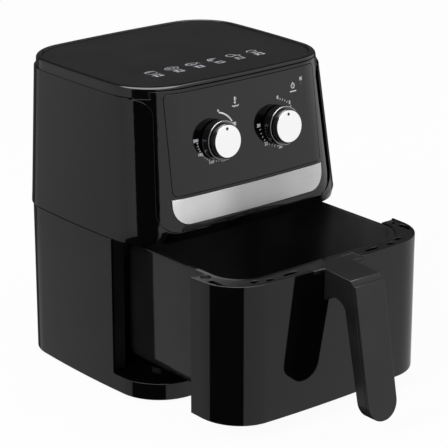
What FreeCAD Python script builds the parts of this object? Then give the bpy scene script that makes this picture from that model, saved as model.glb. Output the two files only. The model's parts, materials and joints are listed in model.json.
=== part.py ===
import FreeCAD, Part
import math
import os
from types import SimpleNamespace
import Sketcher
from FreeCAD import Placement, Rotation, Vector

# An air fryer with two dials, shown with its drawer pulled out. Millimetres, +Z up, -Y the front.
# Every piece is drawn about the middle of the base, with the drawer closed, and is then moved to
# its place: the origin is under the middle of the whole length, on the table.

SIZES = {
    # The frame and the drawer's pose
    "body_centre_y": 95,
    "drawer_out": 116,
    "drawer_drop": 5.5,
    # Clearances
    "gap": 0.4,
    "fit": 0.05,
    "seat_gap": 0.1,
    # The base and the table
    "half_width": 135,
    "base_front": 120.5,
    "base_back": 109.5,
    "base_corner": 48,
    "side_radius": 1200,
    "end_radius": 1500,
    "wall": 3,
    "foot_height": 3,
    "floor_top": 20,
    "floor_thick": 3,
    "seam_z": 161.2,
    "seam_groove": 0.8,
    "seam_inset": 1.2,
    "wall_front": 57,
    "platform_half_width": 100,
    "platform_front": 97,
    "platform_back": 80,
    "platform_corner": 28,
    "platform_height": 3,
    # The bottom cover, its feet and screws
    "cover_z": 3.6,
    "cover_thick": 2,
    "vent_pitch": 11,
    "vent_width": 4,
    "vent_half_length": 42,
    "vent_y": 20,
    "boss_x": 98,
    "boss_front": 72,
    "boss_back": 70,
    "boss_radius": 5,
    "foot_x": 92,
    "foot_front": 92,
    "foot_back": 50,
    "foot_radius": 10,
    "foot_tip_radius": 8.5,
    "screw_radius": 1.5,
    "screw_reach": 9,
    "screw_head_radius": 3,
    "screw_head_height": 1.4,
    # The cord's gland in the back wall
    "gland_z": 45,
    "gland_flange_radius": 9.5,
    "gland_radius": 6.5,
    "gland_bore": 3.2,
    "gland_flange": 2,
    "gland_cut": 9,
    # The upper housing
    "top_z": 311.4,
    "shoulder_z": 301,
    "low_front": 114.1,
    "low_back": 109.5,
    "high_half_width": 124.3,
    "high_front": 95.4,
    "high_back": 112.7,
    "form_corner": 50,
    "sleeve_corner": 44,
    "sleeve_wall": 2.6,
    "lip_front": 109,
    "lip_top": 171.5,
    # The top cover and its panel
    "top_edge": 3,
    "rim_width": 6.5,
    "recess": 2,
    "top_thick": 2.4,
    "skirt_depth": 8,
    "skirt_inset": 3.4,
    "skirt_thick": 2,
    "skirt_front": 45,
    "panel_thick": 1,
    "notch_back": 74,
    # The front bezel, its fascia and trim
    "bezel_low": 172,
    "bezel_top": 307.5,
    "bezel_half_low": 111,
    "bezel_half_high": 104.5,
    "bezel_corner": 20,
    "ear_radius": 14,
    "bezel_thick": 5.2,
    "rebate": 3.2,
    "flange_width": 6,
    "inlay": 1.6,
    "fascia_half": 94,
    "fascia_low": 206.5,
    "fascia_high": 304,
    "fascia_corner": 5,
    "strip_half": 95.5,
    "strip_low": 177.5,
    "strip_high": 203.3,
    "strip_corner": 19,
    # The dials, in a frame whose z axis is the panel's normal
    "panel_tilt": 7.1,
    "knob_x": 38.9,
    "knob_z": 253,
    "knob_lift": 1.4,
    "knob_radius": 19.6,
    "knob_step": 11,
    "knob_groove": 0.8,
    "knob_neck_radius": 16.2,
    "knob_rim_radius": 17,
    "knob_top": 17,
    "knob_edge": 0.8,
    "knob_recess": 1.6,
    "knob_hollow_radius": 14.5,
    "knob_hub_radius": 6,
    "knob_web": 14,
    "cap_radius": 15.8,
    "cap_proud": 0.3,
    "dot_radius": 1.1,
    "dot_depth": 0.5,
    "dot_offset": 12.2,
    "shaft_radius": 3,
    "shaft_hole": 5,
    "lamp_x": 74,
    "lamp_y": 35.5,
    "lamp_radius": 1.6,
    "lamp_back": 9,
    "lamp_front": 1.9,
    # The controls behind the panel
    "bracket_half_width": 76,
    "bracket_half_height": 27,
    "bracket_depth": 15,
    "bracket_thick": 1.5,
    "post_x": 68,
    "post_y": 20,
    "post_radius": 4,
    "post_front": 7.2,
    "thermostat_half_width": 17,
    "thermostat_half_height": 14,
    "thermostat_depth": 24,
    "timer_half_width": 21,
    "timer_half_height": 19,
    "timer_depth": 20,
    "bell_radius": 16,
    "bell_height": 8,
    "bell_wall": 1.2,
    # The vent in the back
    "vent_low": 222,
    "vent_high": 282,
    "vent_half_width": 45,
    "grille_margin": 4,
    "grille_back": 107.1,
    "grille_thick": 2,
    "slat_height": 3.2,
    "slat_depth": 2.2,
    "slat_count": 7,
    # The bay that the drawer runs in
    "bay_half_width": 114.5,
    "bay_wall": 2,
    "bay_front": 50,
    "bay_back": 95,
    "bay_corner": 36,
    "bulkhead_half_width": 130.6,
    "rail_x": 60,
    "rail_half_width": 4,
    "rail_front": 48,
    "rail_back": 76,
    "rail_mid_z": 28.2,
    "rail_gap": 0.3,
    # The heating chamber
    "sheet": 1.2,
    "chamber_half_width": 112,
    "chamber_front": 97,
    "chamber_back": 96,
    "chamber_corner": 22,
    "chamber_top": 207,
    "chamber_flange": 4.5,
    "fan_y": 2,
    "shaft_pass": 8,
    "element_z": 179,
    "element_radius": 50,
    "element_pitch": 14,
    "element_tube": 3.2,
    "element_flat": 2.4,
    "terminal_half": 6,
    "guard_z": 168,
    "guard_outer": 92,
    "guard_inner": 34,
    "guard_ring": 4,
    "guard_bar": 1.6,
    "guard_bars": 12,
    # The fans and the motor
    "spindle_radius": 4,
    "spindle_low": 182,
    "spindle_high": 284,
    "hub_radius": 9,
    "hot_fan_z": 199,
    "hot_fan_radius": 64,
    "hot_blade": 9,
    "hot_blades": 10,
    "cool_fan_z": 231,
    "cool_fan_radius": 44,
    "cool_blade": 7,
    "cool_blades": 8,
    "blade_root": 14,
    "nut_radius": 7.5,
    "nut_height": 5,
    "baffle_z": 215,
    "baffle_half_width": 104,
    "baffle_front": 48,
    "baffle_back": 88,
    "baffle_post_x": 88,
    "baffle_post_front": 36,
    "baffle_post_back": 76,
    "baffle_post_radius": 4,
    "bridge_z": 238,
    "bridge_half_width": 56,
    "bridge_half_depth": 14,
    "bridge_leg": 3,
    "motor_radius": 31,
    "motor_neck_radius": 12,
    "motor_shoulder": 5,
    "motor_top": 276,
    "fuse_x": 80,
    "fuse_y": 60,
    "fuse_half_length": 12,
    "fuse_half_width": 4,
    "fuse_height": 7,
    # The switch that the closed drawer presses
    "switch_x": 40,
    "switch_z": 120,
    "switch_half_width": 10,
    "switch_half_height": 5,
    "switch_depth": 7,
    "plunger_radius": 2,
    "plunger_back": 100,
    "plunger_tip": 87.9,
    # The terminal block on the base's floor
    "block_x": 45,
    "block_y": 101,
    "block_half_width": 14,
    "block_half_depth": 3.5,
    "block_height": 16,
    # The drawer's front
    "front_half_width": 131.5,
    "front_front": 119.5,
    "front_corner": 46,
    "front_wall": 2.6,
    "front_cut": 9,
    "front_low": 20.6,
    "front_high": 160.4,
    "wing_back": 58.5,
    "flange_half_width": 31,
    "flange_thick": 3.3,
    # The frame on top of the drawer
    "frame_top": 159.9,
    "frame_thick": 3.5,
    "frame_back": 60,
    "slot_y": 109.5,
    "slot_x": 52,
    "slot_half_width": 8,
    "slot_half_depth": 2.4,
    "hole_x": 77,
    "hole_half_width": 4,
    "corner_hole_x": 92,
    "corner_hole_y": 104.5,
    "hook_x": 121.5,
    "hook_y": 84,
    "hook_half_width": 3,
    "hook_half_length": 8,
    "scoop_x": 118,
    "scoop_y": 66,
    "scoop_radius": 5,
    # The pan
    "pan_half_width": 109,
    "pan_front": 98.5,
    "pan_back": 87.5,
    "pan_corner": 34,
    "pan_low": 34,
    "pan_high": 159.2,
    "pan_wall": 1.6,
    "pan_bottom_radius": 12,
    "pan_rim": 3.5,
    # The crisper plate
    "plate_lift": 12,
    "plate_gap": 4,
    "plate_thick": 1.5,
    "plate_slot_pitch_x": 32,
    "plate_slot_pitch_y": 20,
    "plate_slot_half_length": 11,
    "plate_slot_half_width": 3,
    "plate_ring_radius": 13,
    "bumper_x": 80,
    "bumper_front": 72,
    "bumper_back": 60,
    "bumper_radius": 6,
    # The handle
    "handle_half_width": 18.5,
    "handle_root": 105.5,
    "handle_wall": 119.6,
    "handle_bend": 122,
    "handle_nose": 155.5,
    "handle_nose_z": 157.6,
    "blade_top": 159,
    "blade_top_z": 153.5,
    "blade_tip": 183.5,
    "blade_tip_z": 22,
    "blade_thick": 12,
    "saddle_z": 127,
    "saddle_radius": 17.5,
    "blade_cover": 3.2,
    "blade_cover_lap": 1.5,
    "tip_radius": 17.8,
    "handle_screw_x": 10,
    "handle_screw_z": 148,
    "handle_screw_reach": 10,
}

doc = FreeCAD.newDocument("AirFryer")
sheet = doc.addObject("Spreadsheet::Sheet", "Sizes")
for row, (alias, number) in enumerate(SIZES.items(), start=1):
    sheet.set(f"A{row}", alias)
    sheet.set(f"B{row}", str(number))
    sheet.setAlias(f"B{row}", alias)
doc.recompute()


class Dim:
    """A length that knows its value and the sheet expression that it comes from."""

    def __init__(self, value, text):
        self.value = value
        self.text = text

    def __add__(self, other):
        other = as_dim(other)
        return Dim(self.value + other.value, f"({self.text} + {other.text})")

    def __sub__(self, other):
        other = as_dim(other)
        return Dim(self.value - other.value, f"({self.text} - {other.text})")

    def __mul__(self, other):
        other = as_dim(other)
        return Dim(self.value * other.value, f"({self.text} * {other.text})")

    def __truediv__(self, other):
        other = as_dim(other)
        return Dim(self.value / other.value, f"({self.text} / {other.text})")

    def __neg__(self):
        return Dim(-self.value, f"(0 - {self.text})")


def as_dim(length):
    """A plain number as a Dim, and a Dim as it is."""
    return length if isinstance(length, Dim) else Dim(float(length), repr(float(length)))


s = SimpleNamespace(**{alias: Dim(float(sheet.get(alias)), f"Sizes.{alias}") for alias in SIZES})
SUB_PARTS = []


def bind(thing, prop, length):
    """Tie one property to the sheet."""
    thing.setExpression(prop, as_dim(length).text)


def part(thing, label):
    """Name a finished sub-part and list it for writing."""
    thing.Label = label
    SUB_PARTS.append(thing)
    return thing


# Where the groups of pieces stand

HOUSING = (0, s.body_centre_y, 0)
DRAWER = (0, s.body_centre_y - s.drawer_out, -s.drawer_drop)
TRAVEL_SLOPE = s.drawer_drop / s.drawer_out


def rise(z):
    """How far up the upper form a height is, from 0 at the seam to 1 at the top."""
    return (z - s.seam_z) / (s.top_z - s.seam_z)


PANEL_Y = s.low_front - (s.low_front - s.high_front) * rise(s.knob_z)
FACE_UP = 90
FULL_TURN = 360


def panel_place(x=0):
    """A place on the front panel at the dials' height."""
    return (x, s.body_centre_y - PANEL_Y, s.knob_z)


def move(thing, place):
    """Put a piece in its place, bound to the sheet."""
    for axis, length in zip("xyz", place):
        bind(thing, f"Placement.Base.{axis}", length)


def tilt(thing):
    """Turn a piece so that its z axis is the front panel's normal."""
    angle = FACE_UP - s.panel_tilt.value
    thing.Placement = Placement(thing.Placement.Base, Rotation(Vector(1, 0, 0), angle))


# Sketch helpers

def new_body(name, place=HOUSING):
    """An empty body in its group's place."""
    body = doc.addObject("PartDesign::Body", name)
    move(body, place)
    return body


def sketch_on(body, plane, offset=0):
    """A sketch on one of the body's origin planes, moved along that plane's normal."""
    sketch = body.newObject("Sketcher::SketchObject", f"{body.Name}_{plane}")
    planes = {feature.Role: feature for feature in body.Origin.OriginFeatures}
    sketch.AttachmentSupport = [(planes[f"{plane}_Plane"], "")]
    sketch.MapMode = "FlatFace"
    bind(sketch, "AttachmentOffset.Base.z", offset)
    return sketch


def constrain(sketch, length, kind, *where):
    """A dimension in a sketch, bound to the sheet."""
    index = sketch.addConstraint(Sketcher.Constraint(kind, *where, as_dim(length).value))
    bind(sketch, f"Constraints[{index}]", length)


def pin(sketch, geometry, point, x, y):
    """Hold one point of a sketch at two bound coordinates."""
    constrain(sketch, x, "DistanceX", -1, 1, geometry, point)
    constrain(sketch, y, "DistanceY", -1, 1, geometry, point)


START, END, CENTRE = 1, 2, 3
UP = Vector(0, 0, 1)


def arc_between(start, end, radius):
    """The short arc from start to end that turns left, about a centre on its left."""
    chord = end - start
    reach = math.sqrt(radius * radius - chord.Length * chord.Length / 4)
    left = UP.cross(chord).normalize()
    centre = start + chord * 0.5 + left * reach
    first = math.atan2(start.y - centre.y, start.x - centre.x)
    last = math.atan2(end.y - centre.y, end.x - centre.x)
    return Part.ArcOfCircle(Part.Circle(centre, UP, radius), first, last)


def outline(sketch, *nodes):
    """A closed outline. A node is x, y and, where an arc leaves it, its radius: above 0 it turns left."""
    edges = []
    for here, after in zip(nodes, nodes[1:] + nodes[:1]):
        start, end = (Vector(as_dim(n[0]).value, as_dim(n[1]).value, 0) for n in (here, after))
        radius = as_dim(here[2]).value if len(here) > 2 else 0
        if radius > 0:
            edges.append((sketch.addGeometry(arc_between(start, end, radius)), START, END))
        elif radius < 0:
            edges.append((sketch.addGeometry(arc_between(end, start, -radius)), END, START))
        else:
            edges.append((sketch.addGeometry(Part.LineSegment(start, end)), START, END))
    for index, (node, (edge, first, _)) in enumerate(zip(nodes, edges)):
        before, _, last = edges[index - 1]
        sketch.addConstraint(Sketcher.Constraint("Coincident", before, last, edge, first))
        pin(sketch, edge, first, node[0], node[1])
        if len(node) > 2:
            radius = as_dim(node[2])
            constrain(sketch, radius if radius.value > 0 else -radius, "Radius", edge)
    return sketch


def rectangle(sketch, left, right, low, high):
    """A plain rectangle."""
    return outline(sketch, (left, low), (right, low), (right, high), (left, high))


def rounded(sketch, left, right, low, high, radius):
    """A rectangle with round corners."""
    r = as_dim(radius)
    left, right, low, high = (as_dim(v) for v in (left, right, low, high))
    return outline(
        sketch,
        (left + r, low), (right - r, low, r),
        (right, low + r), (right, high - r, r),
        (right - r, high), (left + r, high, r),
        (left, high - r), (left, low + r, r),
    )


def circle(sketch, x, y, radius):
    """A circle."""
    shape = Part.Circle(Vector(as_dim(x).value, as_dim(y).value, 0), UP, as_dim(radius).value)
    index = sketch.addGeometry(shape)
    pin(sketch, index, CENTRE, x, y)
    constrain(sketch, radius, "Radius", index)
    return sketch


class Plan:
    """A plan outline with four gently bulged sides and four round corners."""

    def __init__(self, half_width, front, back, corner, grown=0):
        self.half_width = half_width
        self.front = front
        self.back = back
        self.corner = corner
        self.side = s.side_radius + grown
        self.end = s.end_radius + grown

    def inset(self, depth):
        """The same outline, drawn in all round."""
        d = as_dim(depth)
        return Plan(self.half_width - d, self.front - d, self.back - d, self.corner - d, -d)


def corner_centre(side_centre, end_centre, side_reach, end_reach, near):
    """Where a corner arc's centre lies, from its distances to two neighbours' centres."""
    span = end_centre - side_centre
    along = (span.Length ** 2 + side_reach ** 2 - end_reach ** 2) / (2 * span.Length)
    off = math.sqrt(side_reach ** 2 - along ** 2)
    foot = side_centre + span * (along / span.Length)
    across = UP.cross(span).normalize()
    options = [foot + across * off, foot - across * off]
    return min(options, key=lambda point: (point - near).Length)


def squircle(sketch, plan):
    """Eight tangent arcs round the plan, with radii and middles bound to the sheet."""
    width, front, back = plan.half_width, plan.front, plan.back
    corner, side, end = plan.corner, plan.side, plan.end
    middle = (back - front) / 2
    centres = [
        (as_dim(0), end - front), (width - side, middle),
        (as_dim(0), back - end), (side - width, middle),
    ]
    radii = [end, side, end, side]
    points = [Vector(x.value, y.value, 0) for x, y in centres]
    near = [(1, -front.value), (1, back.value), (-1, back.value), (-1, -front.value)]
    corners = []
    for index, (sign, y) in enumerate(near):
        one, two = index, (index + 1) % 4
        reaches = (radii[one].value - corner.value, radii[two].value - corner.value)
        guess = Vector(sign * width.value, y, 0)
        corners.append(corner_centre(points[one], points[two], *reaches, guess))
    edges = []
    for index, point in enumerate(points):
        before, after = corners[index - 1], corners[index]
        angles = [math.atan2(c.y - point.y, c.x - point.x) for c in (before, after)]
        shape = Part.Circle(point, UP, radii[index].value)
        edges.append(sketch.addGeometry(Part.ArcOfCircle(shape, *angles)))
        nexts = points[(index + 1) % 4]
        turns = [math.atan2(after.y - p.y, after.x - p.x) for p in (point, nexts)]
        shape = Part.Circle(after, UP, corner.value)
        edges.append(sketch.addGeometry(Part.ArcOfCircle(shape, *turns)))
    for index, edge in enumerate(edges):
        following = edges[(index + 1) % len(edges)]
        sketch.addConstraint(Sketcher.Constraint("Tangent", edge, END, following, START))
    for index, edge in enumerate(edges):
        constrain(sketch, corner if index % 2 else radii[index // 2], "Radius", edge)
    for edge, (x, y) in zip(edges[::2], centres):
        pin(sketch, edge, CENTRE, x, y)
    return sketch


def form_plan(z, corner):
    """The upper form's outline at one height: it narrows upwards and its front leans back."""
    up = rise(z)
    return Plan(
        s.half_width - (s.half_width - s.high_half_width) * up,
        s.low_front - (s.low_front - s.high_front) * up,
        s.low_back + (s.high_back - s.low_back) * up,
        corner,
    )


# Feature helpers

def extrude(kind, body, sketch, length, back=False, both=False):
    """A pad or a pocket of one sketch."""
    feature = body.newObject(f"PartDesign::{kind}", f"{body.Name}_{kind}")
    feature.Profile = sketch
    bind(feature, "Length", length)
    feature.Reversed = back
    if both:
        feature.SideType = "Symmetric"
    body.Tip = feature
    return feature


def pad(body, sketch, length, **turn):
    """Material added along the sketch's normal."""
    return extrude("Pad", body, sketch, length, **turn)


def pocket(body, sketch, length, **turn):
    """Material taken away against the sketch's normal."""
    return extrude("Pocket", body, sketch, length, **turn)


def loft(kind, body, low, *higher):
    """Material added or taken away through two or more outlines, straight from each to the next."""
    feature = body.newObject(f"PartDesign::{kind}Loft", f"{body.Name}_{kind}")
    feature.Profile = low
    feature.Sections = list(higher)
    feature.Ruled = True
    body.Tip = feature
    return feature


def revolve(body, sketch):
    """A full turn about the sketch's upright axis."""
    feature = body.newObject("PartDesign::Revolution", f"{body.Name}_turn")
    feature.Profile = sketch
    feature.ReferenceAxis = (sketch, ["V_Axis"])
    body.Tip = feature
    return feature


def round_off(body, radius, chosen):
    """A fillet on the edges of the last feature that a test chooses."""
    doc.recompute()
    tip = body.Tip
    names = [f"Edge{i}" for i, edge in enumerate(tip.Shape.Edges, start=1) if chosen(edge.BoundBox)]
    feature = body.newObject("PartDesign::Fillet", f"{body.Name}_round")
    feature.Base = (tip, names)
    bind(feature, "Radius", radius)
    body.Tip = feature
    return feature


def around(body, feature, sketch, count):
    """A feature repeated about its sketch's normal."""
    ring = body.newObject("PartDesign::PolarPattern", f"{body.Name}_ring")
    ring.Originals = [feature]
    ring.Axis = (sketch, ["N_Axis"])
    ring.Angle = FULL_TURN
    ring.Occurrences = int(count.value)
    body.Tip = ring
    return ring


def cylinder(name, radius, height, place):
    """A cylinder standing on a place."""
    shape = doc.addObject("Part::Cylinder", name)
    bind(shape, "Radius", radius)
    bind(shape, "Height", height)
    move(shape, place)
    return shape


def boolean(kind, name, base, tool):
    """A cut, fuse or common of two objects."""
    result = doc.addObject(f"Part::{kind}", name)
    result.Base = base
    result.Tool = tool
    return result


def group(name, pieces):
    """Several separate solids of one kind under one name."""
    compound = doc.addObject("Part::Compound", name)
    compound.Links = pieces
    return compound


def shifted(place, x, y, z):
    """A place moved by three lengths."""
    return tuple(as_dim(p) + d for p, d in zip(place, (x, y, z)))


def screw(name, place, reach, lean=None):
    """A screw whose head ends at its place, with the thread going up, or along a turned axis."""
    body = new_body(name, place)
    zero = as_dim(0)
    profile = sketch_on(body, "XZ")
    outline(
        profile,
        (zero, -s.screw_head_height), (s.screw_head_radius, -s.screw_head_height),
        (s.screw_head_radius, zero), (s.screw_radius, zero),
        (s.screw_radius, reach), (zero, reach),
    )
    revolve(body, profile)
    if lean:
        body.Placement = Placement(body.Placement.Base, lean)
    return body


# The base

BASE_PLAN = Plan(s.half_width, s.base_front, s.base_back, s.base_corner)
BOSSES = [(x, y) for x in (-s.boss_x, s.boss_x) for y in (-s.boss_front, s.boss_back)]
COVER_TOP = s.cover_z + s.cover_thick


def base_shell():
    """The lower shell: a floor with a raised platform, and walls that stop short of the drawer."""
    body = new_body("base_shell")
    height = s.seam_z - s.seam_groove
    pad(body, squircle(sketch_on(body, "XY", s.foot_height), BASE_PLAN), height - s.foot_height)
    pad(body, squircle(sketch_on(body, "XY", height), BASE_PLAN.inset(s.seam_inset)), s.seam_groove)
    depth = s.seam_z - s.floor_top
    pocket(body, squircle(sketch_on(body, "XY", s.seam_z), BASE_PLAN.inset(s.wall)), depth)
    reach = s.half_width + s.wall
    front = rectangle(
        sketch_on(body, "XY", s.seam_z), -reach, reach, -s.base_front - s.wall, -s.wall_front
    )
    pocket(body, front, depth)
    platform = rounded(
        sketch_on(body, "XY", s.floor_top),
        -s.platform_half_width, s.platform_half_width,
        -s.platform_front, s.platform_back, s.platform_corner,
    )
    pad(body, platform, s.platform_height)
    under = s.floor_top - s.floor_thick
    hollow = squircle(sketch_on(body, "XY", s.foot_height), BASE_PLAN.inset(s.wall))
    pocket(body, hollow, under - s.foot_height, back=True)
    bosses = sketch_on(body, "XY", COVER_TOP)
    holes = sketch_on(body, "XY", COVER_TOP)
    for x, y in BOSSES:
        circle(bosses, x, y, s.boss_radius)
        circle(holes, x, y, s.screw_radius + s.fit)
    pad(body, bosses, under - COVER_TOP)
    pocket(body, holes, s.screw_reach, back=True)
    behind = sketch_on(body, "XZ", -s.base_back - s.wall)
    hole = circle(behind, as_dim(0), s.gland_z, s.gland_radius + s.seat_gap)
    pocket(body, hole, s.gland_cut, back=True)
    part(body, "base_shell")


VENT_ROWS = 3


def bottom_cover():
    """The plate that closes the base from below, with air slots."""
    body = new_body("bottom_cover")
    plan = BASE_PLAN.inset(s.wall + s.gap)
    pad(body, squircle(sketch_on(body, "XY", s.cover_z), plan), s.cover_thick)
    cuts = sketch_on(body, "XY", COVER_TOP)
    for x, y in BOSSES:
        circle(cuts, x, y, s.screw_radius + s.gap)
    for index in range(-VENT_ROWS, VENT_ROWS + 1):
        middle = s.vent_pitch * index - s.vent_y
        rectangle(
            cuts, -s.vent_half_length, s.vent_half_length,
            middle - s.vent_width / 2, middle + s.vent_width / 2,
        )
    pocket(body, cuts, s.cover_thick)
    part(body, "bottom_cover")


def feet():
    """Four rubber feet under the bottom cover."""
    pads = []
    for index, (x, y) in enumerate(
        (x, y) for x in (-s.foot_x, s.foot_x) for y in (-s.foot_front, s.foot_back)
    ):
        foot = doc.addObject("Part::Cone", f"foot_{index}")
        bind(foot, "Radius1", s.foot_tip_radius)
        bind(foot, "Radius2", s.foot_radius)
        bind(foot, "Height", s.cover_z)
        move(foot, shifted(HOUSING, x, y, 0))
        pads.append(foot)
    part(group("feet", pads), "feet")


def base_screws():
    """The screws that hold the bottom cover to the base's bosses."""
    screws = [
        screw(f"base_screw_{index}", shifted(HOUSING, x, y, s.cover_z), s.screw_reach)
        for index, (x, y) in enumerate(BOSSES)
    ]
    part(group("base_screws", screws), "base_screws")


def cord_gland():
    """The grooved rubber gland where the mains lead leaves the back wall."""
    body = new_body("cord_gland", shifted(HOUSING, 0, s.base_back + s.seat_gap, s.gland_z))
    body.Placement = Placement(body.Placement.Base, Rotation(Vector(1, 0, 0), -FACE_UP))
    inner = -s.wall - s.seat_gap * 2
    profile = outline(
        sketch_on(body, "XZ"),
        (s.gland_bore, inner - s.gland_flange), (s.gland_flange_radius, inner - s.gland_flange),
        (s.gland_flange_radius, inner), (s.gland_radius, inner), (s.gland_radius, as_dim(0)),
        (s.gland_flange_radius, as_dim(0)), (s.gland_flange_radius, s.gland_flange),
        (s.gland_bore, s.gland_flange),
    )
    revolve(body, profile)
    part(body, "cord_gland")


def terminal_block():
    """The block on the base's floor where the mains lead is joined to the wiring."""
    body = new_body("terminal_block", shifted(HOUSING, s.block_x, s.block_y, s.floor_top))
    w, d = s.block_half_width, s.block_half_depth
    pad(body, rectangle(sketch_on(body, "XY"), -w, w, -d, d), s.block_height)
    entries = sketch_on(body, "XY", s.block_height)
    for index in (-1, 0, 1):
        circle(entries, w * index * 2 / 3, as_dim(0), s.screw_radius)
    pocket(body, entries, s.block_height / 2)
    part(body, "terminal_block")


# The upper housing

def bezel_outline(sketch, grow, top):
    """The front bezel's outline: round below, with an ear under each end of the top cover."""
    g = as_dim(grow)
    low, corner = s.bezel_low - g, s.bezel_corner
    wide, high = s.bezel_half_low + g, s.bezel_half_high + g
    ear = s.shoulder_z - s.gap
    tip = high + s.ear_radius
    return outline(
        sketch,
        (corner - wide, low), (wide - corner, low, corner),
        (wide, low + corner), (high, ear - s.ear_radius, -s.ear_radius),
        (tip, ear), (high, ear), (high, top),
        (-high, top), (-high, ear), (-tip, ear, -s.ear_radius),
        (-high, ear - s.ear_radius), (-wide, low + corner, corner),
    )


def upper_housing():
    """The sleeve: drawn in below the bezel, and open at the front for it."""
    body = new_body("upper_housing")
    foot = form_plan(s.seam_z, s.sleeve_corner)
    foot.front = s.lip_front
    plans = [(s.seam_z, foot)]
    plans += [(z, form_plan(z, s.sleeve_corner)) for z in (s.lip_top, s.shoulder_z)]
    for kind, depth in (("Additive", as_dim(0)), ("Subtractive", s.sleeve_wall)):
        loft(kind, body, *[squircle(sketch_on(body, "XY", z), plan.inset(depth)) for z, plan in plans])
    opening = sketch_on(body, "XZ")
    g, ear = s.gap, s.shoulder_z - s.gap * 2
    wide, tall = s.bezel_half_low + g, s.bezel_half_high + g
    low_z, corner = s.bezel_low - g, s.bezel_corner + g
    outline(
        opening,
        (corner - wide, low_z), (wide - corner, low_z, corner),
        (wide, low_z + corner), (tall, ear - s.ear_radius, -s.ear_radius),
        (tall + s.ear_radius, ear), (tall + s.ear_radius, s.top_z),
        (-tall - s.ear_radius, s.top_z), (-tall - s.ear_radius, ear, -s.ear_radius),
        (-tall, ear - s.ear_radius), (-wide, low_z + corner, corner),
    )
    pocket(body, opening, s.base_front, back=True)
    w = s.vent_half_width
    vent = rectangle(sketch_on(body, "XZ"), -w, w, s.vent_low, s.vent_high)
    pocket(body, vent, s.base_front)
    part(body, "upper_housing")


SOFT_STEPS = 4


def soft_top(body):
    """Outlines that carry the upper form over a round edge on to its flat top."""
    outlines = []
    for step in range(SOFT_STEPS + 1):
        turn = math.pi / 2 * step / SOFT_STEPS
        z = s.top_z - s.top_edge * (1 - math.sin(turn))
        plan = form_plan(z, s.form_corner).inset(s.top_edge * (1 - math.cos(turn)))
        outlines.append(squircle(sketch_on(body, "XY", z), plan))
    return outlines


def top_cover():
    """The lid: a soft-edged band with a sunk top, a skirt inside the sleeve and a front notch."""
    body = new_body("top_cover")
    low, high = form_plan(s.shoulder_z, s.form_corner), form_plan(s.top_z, s.form_corner)
    loft("Additive", body, squircle(sketch_on(body, "XY", s.shoulder_z), low), *soft_top(body))
    pocket(body, squircle(sketch_on(body, "XY", s.top_z), high.inset(s.rim_width)), s.recess)
    under = s.top_z - s.recess - s.top_thick
    hollow = squircle(sketch_on(body, "XY", s.shoulder_z), low.inset(s.skirt_inset))
    pocket(body, hollow, under - s.shoulder_z, back=True)
    skirt = squircle(sketch_on(body, "XY", s.shoulder_z - s.skirt_depth), low.inset(s.skirt_inset))
    squircle(skirt, low.inset(s.skirt_inset + s.skirt_thick))
    pad(body, skirt, under - s.shoulder_z + s.skirt_depth)
    reach = s.half_width
    behind = rectangle(
        sketch_on(body, "XY", s.shoulder_z - s.skirt_depth), -reach, reach, -s.base_front, -s.skirt_front
    )
    pocket(body, behind, s.skirt_depth, back=True)
    wide = s.bezel_half_high + s.gap
    notch = rectangle(
        sketch_on(body, "XZ", s.notch_back), -wide, wide,
        s.shoulder_z - s.skirt_depth, s.bezel_top + s.gap,
    )
    pocket(body, notch, s.base_front, back=True)
    part(body, "top_cover")


def top_panel():
    """The printed panel that lies in the top cover's sunk top."""
    body = new_body("top_panel")
    plan = form_plan(s.top_z, s.form_corner).inset(s.rim_width + s.gap)
    pad(body, squircle(sketch_on(body, "XY", s.top_z - s.recess), plan), s.panel_thick)
    part(body, "top_panel")


def skin(name, outer, inner):
    """A layer of the upper form between two depths under its surface."""
    body = new_body(name)
    low, high = form_plan(s.seam_z, s.form_corner), form_plan(s.top_z, s.form_corner)
    for kind, depth in (("Additive", outer), ("Subtractive", inner)):
        loft(
            kind, body,
            squircle(sketch_on(body, "XY", s.seam_z), low.inset(depth)),
            squircle(sketch_on(body, "XY", s.top_z), high.inset(depth)),
        )
    return body


def prism(name, draw):
    """A long block towards the front with a drawn outline."""
    body = new_body(name)
    pad(body, draw(sketch_on(body, "XZ")), s.base_front + s.wall)
    return body


def fascia_outline(grow):
    """The fascia's outline, grown all round."""
    return lambda sketch: rounded(
        sketch, -s.fascia_half - grow, s.fascia_half + grow,
        s.fascia_low - grow, s.fascia_high + grow, s.fascia_corner + grow,
    )


def strip_outline(grow):
    """The trim strip's outline, grown all round: square above and round below."""
    wide, low, high = s.strip_half + grow, s.strip_low - grow, s.strip_high + grow
    r = s.strip_corner + grow
    return lambda sketch: outline(
        sketch,
        (r - wide, low), (wide - r, low, r), (wide, low + r),
        (wide, high), (-wide, high), (-wide, low + r, r),
    )


def panel_cylinder(name, x, y, back, front, radius):
    """A cylinder along the panel's normal between two heights over it."""
    body = new_body(name, panel_place())
    tilt(body)
    pad(body, circle(sketch_on(body, "XY", back), x, y, radius), as_dim(front) - back)
    return body


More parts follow.
